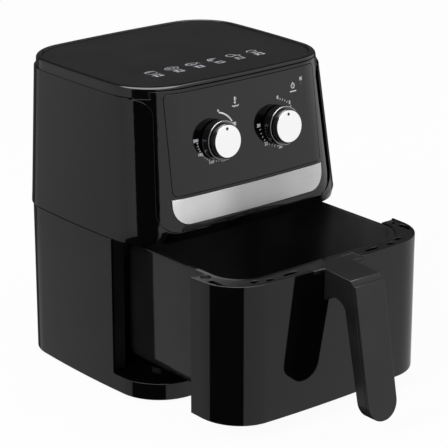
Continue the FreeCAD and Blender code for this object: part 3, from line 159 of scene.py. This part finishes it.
def toned(shade, shares):
    """A shade with its shares of red, green and blue."""
    return tuple(shade * share for share in shares)


def moulded(name, shade, rough, specular, grain, depth):
    """Moulded plastic: a slight drift of tone and polish, with the ripple or grain of its mould."""
    made, nodes, links, bsdf = shader(name, toned(shade, PLAIN_TONE), rough[0], specular=specular)
    drift = place_noise(nodes, links, DRIFT_NOISE)
    span(nodes, links, drift, *rough, bsdf.inputs["Roughness"])
    dark, light = toned(shade, DARK_TONE), toned(shade, LIGHT_TONE)
    tint(nodes, links, drift, dark, light, bsdf.inputs["Base Color"])
    skin = place_noise(nodes, links, grain, detail=3.0)
    relief(nodes, links, skin, depth, GRAIN_HEIGHT, bsdf)
    return made


def sheet_metal(name, colour, rough, stretch=(1, 1, 1)):
    """Bare or brushed metal with streaks along one way."""
    made, nodes, links, bsdf = shader(name, colour, rough, metallic=1.0)
    brush = place_noise(nodes, links, BRUSH_NOISE, detail=4.0, stretch=stretch)
    span(nodes, links, brush, rough - BRUSH_SPREAD, rough + BRUSH_SPREAD, bsdf.inputs["Roughness"])
    dark = tuple(c * BRUSH_DARK for c in colour)
    light = tuple(min(1.0, c * BRUSH_LIGHT) for c in colour)
    tint(nodes, links, brush, dark, light, bsdf.inputs["Base Color"])
    relief(nodes, links, brush, BRUSH_RELIEF, BRUSH_HEIGHT, bsdf)
    return made


def satin_face(name, shade, rough):
    """Bright metal with a fine even satin."""
    made, nodes, links, bsdf = shader(name, (shade,) * 3, rough, metallic=1.0)
    drift = place_noise(nodes, links, SATIN_DRIFT)
    span(nodes, links, drift, rough - SATIN_SPREAD, rough + SATIN_SPREAD, bsdf.inputs["Roughness"])
    tint(nodes, links, drift, (shade * SATIN_DARK,) * 3, (shade,) * 3, bsdf.inputs["Base Color"])
    satin = place_noise(nodes, links, SATIN_NOISE, detail=1.0)
    relief(nodes, links, satin, SATIN_RELIEF, SATIN_HEIGHT, bsdf)
    return made


def brushed_strip():
    """The trim strip: fine lengthwise brushing, and a painted reflection as a slow change of tone along
    it.
    """
    made, nodes, links, bsdf = shader("strip_brushed_painted_reflection", (0.7, 0.7, 0.7), 0.3, metallic=1.0)
    bsdf.inputs["Anisotropic"].default_value = 0.5
    where = nodes.new("ShaderNodeTexCoord")
    split = nodes.new("ShaderNodeSeparateXYZ")
    links.new(where.outputs["Object"], split.inputs["Vector"])
    along = nodes.new("ShaderNodeMapRange")
    along.inputs["From Min"].default_value = -STRIP_HALF
    along.inputs["From Max"].default_value = STRIP_HALF
    links.new(split.outputs["X"], along.inputs["Value"])
    # Painted reflection: the strip's base colour goes light, dark and lighter again along its length,
    # standing in for what it reflects.
    painted_reflection = nodes.new("ShaderNodeValToRGB")
    painted_reflection.color_ramp.interpolation = "EASE"
    set_stops(painted_reflection.color_ramp, STRIP_PAINTED_REFLECTION)
    links.new(along.outputs["Result"], painted_reflection.inputs["Fac"])
    brush = place_noise(nodes, links, STRIP_NOISE, detail=4.0, stretch=(0.03, 1, 1))
    streaks = nodes.new("ShaderNodeMix")
    streaks.data_type = "RGBA"
    streaks.blend_type = "OVERLAY"
    streaks.inputs["Factor"].default_value = STRIP_STREAKS
    links.new(painted_reflection.outputs["Color"], streaks.inputs["A"])
    links.new(brush, streaks.inputs["B"])
    links.new(streaks.outputs["Result"], bsdf.inputs["Base Color"])
    span(nodes, links, brush, *STRIP_ROUGH, bsdf.inputs["Roughness"])
    relief(nodes, links, brush, STRIP_RELIEF, BRUSH_HEIGHT, bsdf)
    return made


# Each plastic: shade, range of roughness, specular level, grain and its depth.
GLOSS = moulded("housing_gloss", 0.0013, (0.03, 0.05), 0.42, 700.0, 0.008)
DRAWER_GLOSS = moulded("drawer_gloss", 0.0013, (0.025, 0.045), 0.42, 700.0, 0.006)
FASCIA = moulded("fascia_gloss", 0.002, (0.06, 0.09), 0.44, 900.0, 0.008)
TOP = moulded("top_satin", 0.003, (0.30, 0.38), 0.28, 2600.0, 0.06)
RIM = moulded("rim_gloss", 0.0015, (0.05, 0.09), 0.45, 900.0, 0.008)
FRAME = moulded("frame_satin", 0.003, (0.20, 0.28), 0.36, 1800.0, 0.05)
GRAINED = moulded("handle_satin", 0.010, (0.20, 0.28), 0.35, 1800.0, 0.02)
KNOB = moulded("dial_gloss", 0.005, (0.05, 0.08), 1.0, 900.0, 0.01)
INNER = moulded("inner_moulding", 0.009, (0.18, 0.30), 0.36, 1500.0, 0.05)
COATING = moulded("pan_coating", 0.007, (0.05, 0.09), 0.40, 3200.0, 0.01)
COATING_INSIDE = moulded("pan_inside", 0.035, (0.12, 0.20), 0.40, 3200.0, 0.03)
RUBBER = moulded("dark_rubber", 0.020, (0.60, 0.75), 0.30, 2400.0, 0.15)
CASE = moulded("control_case", 0.55, (0.40, 0.50), 0.40, 1500.0, 0.05)
CERAMIC = moulded("white_ceramic", 0.75, (0.45, 0.60), 0.40, 1800.0, 0.08)
# Each metal: shade or colour, and roughness.
CAP = satin_face("cap_satin", 0.97, 0.28)
RING_METAL = satin_face("ring_bright", 0.40, 0.20)
STRIP = brushed_strip()
STEEL = sheet_metal("sheet_steel", (0.56, 0.56, 0.57), 0.36, (0.06, 1, 1))
FAN = sheet_metal("fan_aluminium", (0.72, 0.72, 0.73), 0.34)
TUBE = sheet_metal("element_tube", (0.25, 0.24, 0.23), 0.48)
BRASS = sheet_metal("brass_nut", (0.72, 0.55, 0.25), 0.32)
# The lens and the paints, given as for the plastics.
LENS = moulded("lens_red", 0.03, (0.08, 0.12), 0.5, 500.0, 0.01)
PRINT = moulded("print_white", 0.80, (0.45, 0.55), 0.3, 1500.0, 0.02)
PRINT_SOFT = moulded("print_grey", 0.70, (0.45, 0.55), 0.3, 1500.0, 0.02)
DOT = moulded("dot_black", 0.004, (0.30, 0.40), 0.3, 1500.0, 0.02)

BY_SLOT = {
    "housing_black": GLOSS, "panel_black": TOP, "fascia_black": FASCIA, "inner_plastic": INNER,
    "silver_face": CAP, "brushed_strip": STRIP, "lens_red": LENS, "dark_rubber": RUBBER,
    "sheet_steel": STEEL, "pan_coating": COATING, "element_tube": TUBE, "white_ceramic": CERAMIC,
    "fan_aluminium": FAN, "brass_nut": BRASS, "control_case": CASE,
}
BY_NODE = {
    "drawer_front": DRAWER_GLOSS, "drawer_top_frame": FRAME, "top_cover": RIM,
    "handle": GRAINED, "handle_cover": GRAINED, "crisper_plate": COATING_INSIDE,
    "temperature_knob": KNOB, "timer_knob": KNOB,
}


# Rounded edges and smooth curves

# Edge radius in millimetres of the pieces whose edges show.
EDGES = {
    "base_shell": 0.4, "upper_housing": 0.4, "top_cover": 0.8, "top_panel": 0.25,
    "front_bezel": 0.4, "control_fascia": 0.25, "trim_strip": 0.3,
    "drawer_front": 0.5, "drawer_top_frame": 0.4, "handle": 0.8, "handle_cover": 0.8,
    "pan": 0.5, "crisper_plate": 0.4, "temperature_knob": 0.35, "timer_knob": 0.35,
    "temperature_knob_cap": 0.3, "timer_knob_cap": 0.3, "rear_vent_grille": 0.4,
    "bottom_cover": 0.4, "feet": 0.6, "cord_gland": 0.6, "bay_liner": 0.5,
}
EDGE_SEGMENTS = 3
# Edges that turn less than the first angle go, and those that turn more than the second are rounded.
FLAT_ANGLE = math.radians(0.4)
SHARP_ANGLE = math.radians(32)
# Points closer than this many metres, or than this share of the radius, become one.
WELD = 2e-6
SHORT_SHARE = 0.4
# How far in metres a corner is moved into its own face before the nearest CAD triangle is looked up.
NUDGE = 5e-5
# Lengths between which a blended normal is sound, and the length under which there is none.
SOUND_LENGTH = (0.5, 1.5)
NO_LENGTH = 0.1
# A face is a floor if its normal rises more than the first, and a wall if it rises less than the second.
FLOOR_RISE = 0.3
WALL_RISE = 0.8


def rounded_copy(source, radius):
    """A copy of a CAD mesh with its sharp edges rounded. Rounded faces take material 1."""
    mesh = source.copy()
    work = bmesh.new()
    work.from_mesh(mesh)
    bmesh.ops.remove_doubles(work, verts=work.verts, dist=WELD)
    bmesh.ops.dissolve_limit(work, angle_limit=FLAT_ANGLE, verts=work.verts, edges=work.edges)
    bmesh.ops.remove_doubles(work, verts=work.verts, dist=radius * MM * SHORT_SHARE)
    for face in work.faces:
        face.smooth = True
        face.material_index = 0
    work.to_mesh(mesh)
    work.free()
    mesh.materials.clear()
    for _ in range(2):
        mesh.materials.append(None)
    holder = bpy.data.objects.new("rounding", mesh)
    scene.collection.objects.link(holder)
    edge = holder.modifiers.new("edge", "BEVEL")
    edge.width = radius * MM
    edge.segments = EDGE_SEGMENTS
    edge.use_clamp_overlap = False
    edge.limit_method = "ANGLE"
    edge.angle_limit = SHARP_ANGLE
    edge.material = 1
    bpy.context.view_layer.update()
    rounded = holder.evaluated_get(bpy.context.evaluated_depsgraph_get())
    made = bpy.data.meshes.new_from_object(rounded)
    bpy.data.objects.remove(holder)
    return made


def carry_normals(mesh, source):
    """The CAD surface's normals on plain faces. Points that only rounded faces share take those faces'."""
    source.calc_loop_triangles()
    triangles = source.loop_triangles
    points = [v.co.copy() for v in source.vertices]
    tree = BVHTree.FromPolygons(points, [tuple(t.vertices) for t in triangles])
    plain = [Vector() for _ in mesh.vertices]
    soft = [Vector() for _ in mesh.vertices]
    for face in mesh.polygons:
        for vertex in face.vertices:
            if face.material_index:
                soft[vertex] += face.normal
                continue
            corner = mesh.vertices[vertex].co
            inward = (face.center - corner).normalized() * NUDGE
            place, _, index, _ = tree.find_nearest(corner + inward)
            triangle = triangles[index]
            ends = [points[i] for i in triangle.vertices]
            turns = [source.corner_normals[i].vector.copy() for i in triangle.loops]
            normal = barycentric_transform(place, *ends, *turns)
            sound = SOUND_LENGTH[0] < normal.length < SOUND_LENGTH[1]
            plain[vertex] += normal.normalized() if sound else triangle.normal
    chosen = [(p if p.length > NO_LENGTH else s).normalized() for p, s in zip(plain, soft)]
    mesh.normals_split_custom_set([chosen[loop.vertex_index] for loop in mesh.loops])


def dress(node, material, radius):
    """The node's own shape with rounded edges and smooth curves, in its place."""
    source = frame["nodes"][node].data
    mesh = rounded_copy(source, radius)
    carry_normals(mesh, source)
    mesh.materials.clear()
    mesh.materials.append(material)
    for face in mesh.polygons:
        face.material_index = 0
    piece = add_piece(f"{node}_skin", mesh, BODY[node])
    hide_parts(node)
    return piece


def line_inside(piece, material):
    """The lining of a vessel: its floor and the faces turned towards its middle."""
    corners = [v.co for v in piece.data.vertices]
    middle = sum(corners, Vector()) / len(corners)
    piece.data.materials.append(material)
    for face in piece.data.polygons:
        inward = (middle - face.center).to_2d().dot(face.normal.to_2d()) > 0
        floor = face.normal.z > FLOOR_RISE and face.center.z < middle.z
        if floor or (inward and abs(face.normal.z) < WALL_RISE):
            face.material_index = 1


for node, obj in frame["nodes"].items():
    finish = BY_NODE.get(node) or BY_SLOT[SLOT[node]]
    if node in EDGES:
        skin = dress(node, finish, EDGES[node])
        if node == "pan":
            line_inside(skin, COATING_INSIDE)
    else:
        obj.data.materials.clear()
        obj.data.materials.append(finish)


# Printed marks, drawn in millimetres and laid on a surface

# How far the print stands off its surface, in metres.
PRINT_LIFT = 0.06 * MM
# Where the search for the surface starts above the drawing, and how far it goes, in metres.
SEARCH_START = 0.05
SEARCH_REACH = 0.2
# The font's size and extra weight for figures of height 1.
FONT_SIZE = 1.45
FONT_WEIGHT = 0.06


class Print:
    """Flat marks drawn in a surface's own millimetres and laid on it."""

    def __init__(self, node, origin, up):
        mesh = frame["nodes"][node].data
        points = [v.co.copy() for v in mesh.vertices]
        self.surface = BVHTree.FromPolygons(points, [tuple(p.vertices) for p in mesh.polygons])
        self.origin = Vector(origin) * MM
        self.across = Vector((1, 0, 0))
        self.up = Vector(up).normalized()
        self.out = self.across.cross(self.up)
        self.points = []
        self.faces = []

    def lay(self, x, y):
        """The place on the surface over one drawn point."""
        start = self.origin + (self.across * x + self.up * y) * MM + self.out * SEARCH_START
        hit = self.surface.ray_cast(start, -self.out, SEARCH_REACH)[0]
        return hit + self.out * PRINT_LIFT

    def polygon(self, corners):
        """One filled shape."""
        first = len(self.points)
        self.points += [self.lay(x, y) for x, y in corners]
        self.faces.append(tuple(range(first, first + len(corners))))

    def line(self, path, width):
        """A stroke of even width along a path."""
        path = [Vector(p) for p in path]
        sides = []
        for index, point in enumerate(path):
            before = path[max(index - 1, 0)]
            after = path[min(index + 1, len(path) - 1)]
            run = (after - before).normalized()
            side = Vector((-run.y, run.x)) * width / 2
            sides.append((point + side, point - side))
        for (a, b), (c, d) in zip(sides, sides[1:]):
            self.polygon([tuple(a), tuple(b), tuple(d), tuple(c)])

    def arc(self, x, y, radius, start, end, width, steps=24):
        """A stroke round a centre, with angles clockwise from the top."""
        turns = [math.radians(start + (end - start) * i / steps) for i in range(steps + 1)]
        self.line([(x + radius * math.sin(t), y + radius * math.cos(t)) for t in turns], width)

    def disc(self, x, y, radius, steps=16):
        """A filled circle."""
        turns = [2 * math.pi * i / steps for i in range(steps)]
        self.polygon([(x + radius * math.cos(t), y + radius * math.sin(t)) for t in turns])

    def text(self, words, x, y, height):
        """Figures centred on a point."""
        curve = bpy.data.curves.new("figures", "FONT")
        curve.body = words
        curve.size = height * FONT_SIZE
        curve.offset = height * FONT_WEIGHT
        curve.align_x = "CENTER"
        curve.align_y = "CENTER"
        curve.resolution_u = 3
        holder = bpy.data.objects.new("figures", curve)
        scene.collection.objects.link(holder)
        bpy.context.view_layer.update()
        flat = bpy.data.meshes.new_from_object(holder)
        first = len(self.points)
        self.points += [self.lay(x + v.co.x, y + v.co.y) for v in flat.vertices]
        self.faces += [tuple(first + i for i in face.vertices) for face in flat.polygons]
        bpy.data.objects.remove(holder)
        bpy.data.curves.remove(curve)
        bpy.data.meshes.remove(flat)

    def make(self, name, material, body):
        """The marks as one piece."""
        mesh = bpy.data.meshes.new(name)
        mesh.from_pydata([tuple(p) for p in self.points], [], self.faces)
        mesh.materials.append(material)
        add_piece(name, mesh, body)


# The marks on the sloping fascia

TILT = math.radians(7.1)
PANEL = (0.0, -7.67, 253.0)
UP_PANEL = (0, math.sin(TILT), math.cos(TILT))
DIAL_X = 38.9
# The scale's centre over the dial's, its radius, and the reach of its ticks.
RING_LIFT = 2.2
RING = 24.6
TICK_REACH = (RING - 2.4, RING - 0.6)
TICK_WIDE = 0.8
TICK_PARTS = 5
FIGURE = 3.2
LONG_FIGURE = 2.7
OFF_FIGURE = 2.3
# Each figure and its angle, clockwise from the top.
HEATS = (("80", 69), ("100", 98), ("120", 131), ("140", 165), ("160", 200), ("180", 237), ("200", 272))
MINUTES = (("0", 6), ("5", 47), ("10", 90), ("15", 133), ("20", 176), ("25", 222), ("30", 273))

marks = Print("control_fascia", PANEL, UP_PANEL)


def round_dial(x, radius, angle):
    """A point on a dial's scale, with its angle clockwise from the top."""
    turn = math.radians(angle)
    return (x + radius * math.sin(turn), RING_LIFT + radius * math.cos(turn))


def scale(x, labels):
    """Figures round a dial with ticks between them."""
    for words, angle in labels:
        height = LONG_FIGURE if len(words) > 2 else FIGURE
        marks.text(words, *round_dial(x, RING, angle), height)
    for (_, start), (_, end) in zip(labels, labels[1:]):
        for index in range(1, TICK_PARTS):
            angle = start + (end - start) * index / TICK_PARTS
            marks.line([round_dial(x, radius, angle) for radius in TICK_REACH], TICK_WIDE)


def thermometer(x, y):
    """A bulb with a stem."""
    marks.disc(x, y - 1.8, 1.3)
    marks.line([(x, y - 1.8), (x, y + 3.6)], 1.3)
    for step in (0.8, 1.8, 2.8):
        marks.line([(x + 1.1, y + step), (x + 2.1, y + step)], 0.45)


def wave(x, y):
    """A wavy line across."""
    marks.line([(x + 0.5 * t, y + 0.6 * math.sin(t * 0.9)) for t in range(18)], 0.9)


def clock(x, y):
    """A round face with two hands and a button."""
    marks.arc(x, y, 2.2, 0, 360, 0.8, 32)
    marks.line([(x, y + 1.4), (x, y), (x + 1.0, y)], 0.5)
    marks.line([(x - 0.7, y + 3.2), (x + 0.7, y + 3.2)], 0.7)


def warmth(x, y):
    """Three wavy lines that rise."""
    for offset in (-1.3, 0, 1.3):
        path = [(x + offset + 0.35 * math.sin(t * 1.3), y - 1.8 + t * 0.6) for t in range(7)]
        marks.line(path, 0.6)


scale(-DIAL_X, HEATS)
scale(DIAL_X, MINUTES)
marks.text("0", -DIAL_X + 4.6, RING_LIFT + RING + 0.4, OFF_FIGURE)
marks.arc(-DIAL_X, RING_LIFT, RING - 0.8, start=13, end=60, width=1.5)
thermometer(25.8 - DIAL_X, 33.6)
wave(22.0 - DIAL_X, 28.2)
clock(DIAL_X + 23.8, 34.6)
marks.line([(DIAL_X + 19.4, 29.2), (DIAL_X + 28.0, 29.2)], width=1.1)
warmth(74.0, 40.0)
marks.make("fascia_marks", PRINT, "housing")


# The row of food signs on the lid

SIGNS_PLACE = (0.0, 52.5, 310.4)
SIGNS_START = -67.5
SIGNS_STEP = 25.6
SIGN_Y = 5.4
HEAT_Y = -4.4
MINUTES_Y = -8.8
CAPTION = 2.6
# Stroke widths.
THIN = 0.7
FINE = THIN * 0.8
OVAL_STEPS = 28

pictures = Print("top_panel", SIGNS_PLACE, (0, 1, 0))


def loop(points):
    """A closed stroke."""
    pictures.line(list(points) + [points[0], points[1]], THIN)


def oval(x, y, wide, tall, start=0, end=360):
    """A stroke round an oval, with angles anticlockwise from the right."""
    turns = [math.radians(start + (end - start) * i / OVAL_STEPS) for i in range(OVAL_STEPS + 1)]
    pictures.line([(x + wide * math.cos(t), y + tall * math.sin(t)) for t in turns], THIN)


def fries(x, y):
    """A tub of sticks."""
    loop([(x - 6, y + 1), (x + 6, y + 1), (x + 4.4, y - 5), (x - 4.4, y - 5)])
    for offset in (-4.6, -2.3, 0, 2.3, 4.6):
        top = y + 5.4 - abs(offset) * 0.35
        pictures.line([(x + offset, y + 1.2), (x + offset * 1.15, top)], THIN * 1.6)


def steak(x, y):
    """A slab with a bone ring."""
    oval(x, y, 7.6, 4.6)
    oval(x - 2.6, y + 0.6, 1.6, 1.2)
    pictures.line([(x + 0.5, y - 2.0), (x + 4.5, y + 1.0)], THIN)
    pictures.line([(x + 1.6, y + 2.2), (x + 4.2, y + 3.0)], THIN)


def fish(x, y):
    """A fish with a forked tail."""
    oval(x - 1, y, 6.4, 3.3)
    loop([(x + 5.2, y), (x + 8.6, y + 2.8), (x + 7.4, y), (x + 8.6, y - 2.8)])
    pictures.disc(x - 5.0, y + 0.7, 0.6)
    oval(x - 2.4, y, 1.1, 2.4, -60, 60)


def shrimp(x, y):
    """A curled body with rings."""
    oval(x, y - 0.6, 5.6, 4.4, 20, 250)
    oval(x, y - 0.6, 3.0, 2.0, 20, 250)
    for angle in (60, 100, 140, 180, 220):
        across, up = math.cos(math.radians(angle)), math.sin(math.radians(angle))
        inner = (x + 3.0 * across, y - 0.6 + 2.0 * up)
        outer = (x + 5.6 * across, y - 0.6 + 4.4 * up)
        pictures.line([inner, outer], FINE)


def drumstick(x, y):
    """A leg of poultry on its bone."""
    oval(x - 1.6, y + 0.8, 5.0, 3.8)
    pictures.line([(x + 2.8, y - 1.0), (x + 6.6, y - 3.2)], THIN * 2.2)
    pictures.disc(x + 7.2, y - 2.8, 0.9)
    pictures.disc(x + 6.6, y - 4.2, 0.9)


def cake(x, y):
    """A small cake in a paper cup."""
    loop([(x - 4.8, y - 0.6), (x + 4.8, y - 0.6), (x + 3.4, y - 5), (x - 3.4, y - 5)])
    oval(x, y - 0.4, 5.8, 4.6, 0, 180)
    for offset in (-1.6, 1.6):
        pictures.line([(x + offset * 1.2, y - 1.0), (x + offset * 0.8, y - 4.8)], FINE)


SIGNS = (
    (fries, "180", "20"), (steak, "180", "15"), (fish, "160", "18"),
    (shrimp, "160", "12"), (drumstick, "180", "25"), (cake, "160", "25"),
)
for index, (draw, heat, minutes) in enumerate(SIGNS):
    place_x = SIGNS_START + SIGNS_STEP * index
    draw(place_x, SIGN_Y)
    pictures.text(f"{heat} °C", place_x, HEAT_Y, CAPTION)
    pictures.text(f"{minutes} min", place_x, MINUTES_Y, CAPTION)
pictures.make("top_pictures", PRINT_SOFT, "housing")


# The black eyelet and the bright ring on each dial

OUT_PANEL = Vector((1, 0, 0)).cross(Vector(UP_PANEL))
DOT_RISE = 12.2
DOT_FLOOR = 16.86
DOT_RADIUS = 1.05
DOT_STEPS = 24
# Radius and height over the panel, in millimetres, round each closed section.
EYELET = ((1.0, 16.85), (1.0, 17.3), (1.12, 17.36), (1.5, 17.36), (1.6, 17.2))
EYELET_STEPS = 32
RING_SECTION = ((18.3, 10.9), (18.3, 11.12), (18.6, 11.3), (19.0, 11.3), (19.3, 11.12), (19.3, 10.9))
RING_STEPS = 96


def turn_section(work, place, section, steps):
    """A closed section turned about the panel's normal."""
    side, up = Vector((1, 0, 0)), Vector(UP_PANEL)
    rows = []
    for index in range(steps):
        turn = 2 * math.pi * index / steps
        spoke = side * math.cos(turn) + up * math.sin(turn)
        rows.append([work.verts.new(place + (spoke * r + OUT_PANEL * h) * MM) for r, h in section])
    faces = []
    for here, after in zip(rows, rows[1:] + rows[:1]):
        for k in range(len(section)):
            n = (k + 1) % len(section)
            faces.append(work.faces.new((here[k], after[k], after[n], here[n])))
    bmesh.ops.recalc_face_normals(work, faces=faces)
    for face in faces:
        face.smooth = True


def dial_piece(name, work, material, body):
    """The worked shape as a piece on its dial."""
    mesh = bpy.data.meshes.new(name)
    work.to_mesh(mesh)
    work.free()
    mesh.materials.append(material)
    add_piece(name, mesh, body)


def spot(name, x, body):
    """A black eyelet in the face's dimple, with a painted floor."""
    place = (Vector((x, PANEL[1], PANEL[2])) + Vector(UP_PANEL) * DOT_RISE) * MM
    floor = Matrix.Translation(place + OUT_PANEL * DOT_FLOOR * MM)
    lean = Matrix.Rotation(math.radians(90) - TILT, 4, "X")
    work = bmesh.new()
    bmesh.ops.create_circle(
        work, cap_ends=True, segments=DOT_STEPS, radius=DOT_RADIUS * MM, matrix=floor @ lean
    )
    turn_section(work, place, EYELET, EYELET_STEPS)
    dial_piece(name, work, DOT, body)


def bright_ring(name, x, body):
    """A thin bright ring let into the outer edge of the step."""
    work = bmesh.new()
    turn_section(work, Vector((x, PANEL[1], PANEL[2])) * MM, RING_SECTION, RING_STEPS)
    dial_piece(name, work, RING_METAL, body)


spot("temperature_spot", -DIAL_X, "temperature_dial")
spot("timer_spot", DIAL_X, "timer_dial")
bright_ring("temperature_ring", -DIAL_X, "temperature_dial")
bright_ring("timer_ring", DIAL_X, "timer_dial")


# The studio

# Shades in reflections, by degrees from the studio's middle, in a lower and an upper band.
STUDIO_MIDDLE = 215.0
LOWER_BAND = (
    (-180, 0.75), (-154, 0.75), (-150, 0.08), (-126, 0.08), (-120, 0.60), (-85, 0.66), (-55, 0.74),
    (-53, 0.015), (29, 0.015), (31, 0.95), (80, 1.0), (110, 1.0), (140, 0.85), (180, 0.75),
)
UPPER_BAND = (
    (-180, 0.10), (-118, 0.10), (-114, 0.56), (-85, 0.62), (-50, 0.72), (-25, 0.85), (-23, 0.015),
    (29, 0.015), (31, 1.0), (80, 1.0), (150, 1.0), (165, 0.10), (180, 0.10),
)
# Heights of a reflection's direction: where the bands meet, where the overhead panel starts, where
# the sides grow brighter, and where they fade towards the floor.
BANDS_MEET = (-0.345, -0.325)
PANEL_START = (0.80, 0.86)
SIDES_RISE = (-0.34, -0.08)
SIDES_FADE = (-0.60, -0.46)
PANEL_GLOW = 7.0
FILL = 0.55
# The share of plain white in what the camera sees of the floor. The rest keeps the shadow.
FLOOR_WHITE = 0.95
FLOOR_SIZE = 12
CAMERA_PLACE = (-1.2338, -1.4574, 0.8288)
CAMERA_DOWN = 19.405
CAMERA_TURN = -39.706
CAMERA_LENS = 164.4
CAMERA_SENSOR = 36.0


def maths(nodes, links, operation, first, second):
    """The result of one operation on two values."""
    made = nodes.new("ShaderNodeMath")
    made.operation = operation
    links.new(first, made.inputs[0])
    links.new(second, made.inputs[1])
    return made.outputs["Value"]


def mix_shaders(nodes, links, share, under, over):
    """One shader over another by a share."""
    mix = nodes.new("ShaderNodeMixShader")
    links.new(share, mix.inputs["Fac"])
    links.new(under, mix.inputs[1])
    links.new(over, mix.inputs[2])
    return mix.outputs["Shader"]


def studio_world():
    """White to the camera. To reflections, pale sides with dark gaps and a bright panel overhead."""
    world = bpy.data.worlds.new("studio")
    scene.world = world
    world.use_nodes = True
    nodes, links = world.node_tree.nodes, world.node_tree.links
    nodes.clear()
    where = nodes.new("ShaderNodeTexCoord").outputs["Generated"]

    def along(azimuth):
        """How far the direction goes along an azimuth."""
        dot = nodes.new("ShaderNodeVectorMath")
        dot.operation = "DOT_PRODUCT"
        turn = math.radians(azimuth)
        dot.inputs[1].default_value = (math.cos(turn), math.sin(turn), 0)
        links.new(where, dot.inputs[0])
        return dot.outputs["Value"]

    angle = maths(nodes, links, "ARCTAN2", along(STUDIO_MIDDLE + 90), along(STUDIO_MIDDLE))
    turned = nodes.new("ShaderNodeMapRange")
    turned.inputs["From Min"].default_value = -math.pi
    turned.inputs["From Max"].default_value = math.pi
    links.new(angle, turned.inputs["Value"])
    split = nodes.new("ShaderNodeSeparateXYZ")
    links.new(where, split.inputs["Vector"])

    def round_about(stops):
        """Shades by the angle round the object."""
        ramp = nodes.new("ShaderNodeValToRGB")
        set_stops(ramp.color_ramp, [((degrees + 180) / 360, shade) for degrees, shade in stops])
        links.new(turned.outputs["Result"], ramp.inputs["Fac"])
        return ramp.outputs["Color"]

    def by_height(heights, first=0, last=1):
        """A value that goes from the first to the last between two heights."""
        spread = nodes.new("ShaderNodeMapRange")
        spread.inputs["From Min"].default_value = heights[0]
        spread.inputs["From Max"].default_value = heights[1]
        spread.inputs["To Min"].default_value = first
        spread.inputs["To Max"].default_value = last
        links.new(split.outputs["Z"], spread.inputs["Value"])
        return spread.outputs["Result"]

    def blend(share, under, over):
        """One colour over another by a share."""
        mix = nodes.new("ShaderNodeMix")
        mix.data_type = "RGBA"
        links.new(share, mix.inputs["Factor"])
        links.new(under, mix.inputs["A"])
        links.new(over, mix.inputs["B"])
        return mix.outputs["Result"]

    def plain_light(strength):
        """White light of one strength."""
        light = nodes.new("ShaderNodeBackground")
        light.inputs["Color"].default_value = (1, 1, 1, 1)
        light.inputs["Strength"].default_value = strength
        return light.outputs["Background"]

    panel = nodes.new("ShaderNodeRGB").outputs["Color"]
    panel.default_value = (PANEL_GLOW, PANEL_GLOW, PANEL_GLOW, 1)
    sides = blend(by_height(BANDS_MEET), round_about(LOWER_BAND), round_about(UPPER_BAND))
    mirror = nodes.new("ShaderNodeBackground")
    links.new(blend(by_height(PANEL_START), sides, panel), mirror.inputs["Color"])
    rise = by_height(SIDES_RISE, first=0.74, last=1.04)
    fade = by_height(SIDES_FADE, first=0.1, last=1)
    links.new(maths(nodes, links, "MULTIPLY", rise, fade), mirror.inputs["Strength"])
    path = nodes.new("ShaderNodeLightPath").outputs
    lit = mix_shaders(nodes, links, path["Is Glossy Ray"], plain_light(FILL), mirror.outputs["Background"])
    seen = maths(nodes, links, "MAXIMUM", path["Is Camera Ray"], path["Is Transmission Ray"])
    surface = nodes.new("ShaderNodeOutputWorld").inputs["Surface"]
    links.new(mix_shaders(nodes, links, seen, lit, plain_light(1.0)), surface)


def studio_floor():
    """A pale floor that keeps the shadow and looks white to the camera."""
    bpy.ops.mesh.primitive_plane_add(size=FLOOR_SIZE, location=(0, 0, 0))
    floor = bpy.context.object
    floor.name = "floor"
    floor.visible_glossy = False
    made = bpy.data.materials.new("floor_white")
    made.use_nodes = True
    nodes, links = made.node_tree.nodes, made.node_tree.links
    nodes.clear()
    matt = nodes.new("ShaderNodeBsdfDiffuse")
    matt.inputs["Color"].default_value = (0.9, 0.9, 0.9, 1)
    glow = nodes.new("ShaderNodeEmission").outputs["Emission"]
    path = nodes.new("ShaderNodeLightPath").outputs
    share = nodes.new("ShaderNodeMath")
    share.operation = "MULTIPLY"
    share.inputs[1].default_value = FLOOR_WHITE
    links.new(path["Is Camera Ray"], share.inputs[0])
    mixed = mix_shaders(nodes, links, share.outputs["Value"], matt.outputs["BSDF"], glow)
    links.new(mixed, nodes.new("ShaderNodeOutputMaterial").inputs["Surface"])
    floor.data.materials.append(made)


def lamp(name, place, target, size, power):
    """A large soft lamp that reflections don't show."""
    light = bpy.data.lights.new(name, "AREA")
    light.shape = "DISK"
    light.size = size
    light.energy = power
    holder = bpy.data.objects.new(name, light)
    holder.location = place
    aim = Vector(target) - Vector(place)
    holder.rotation_euler = aim.to_track_quat("-Z", "Y").to_euler()
    holder.visible_glossy = False
    scene.collection.objects.link(holder)


studio_world()
studio_floor()
lamp("key", place=(-1.8, -0.1, 1.35), target=(0, -0.05, 0.15), size=0.9, power=26)
lamp("side", place=(1.5, -1.0, 1.2), target=(0, 0, 0.15), size=1.2, power=9)

camera_data = bpy.data.cameras.new("camera")
camera_data.lens = CAMERA_LENS
camera_data.sensor_width = CAMERA_SENSOR
camera = bpy.data.objects.new("camera", camera_data)
camera.location = CAMERA_PLACE
camera.rotation_euler = (math.radians(90 - CAMERA_DOWN), 0, math.radians(CAMERA_TURN))
scene.collection.objects.link(camera)
scene.camera = camera
scene.view_settings.view_transform = "Standard"

bpy.context.view_layer.update()
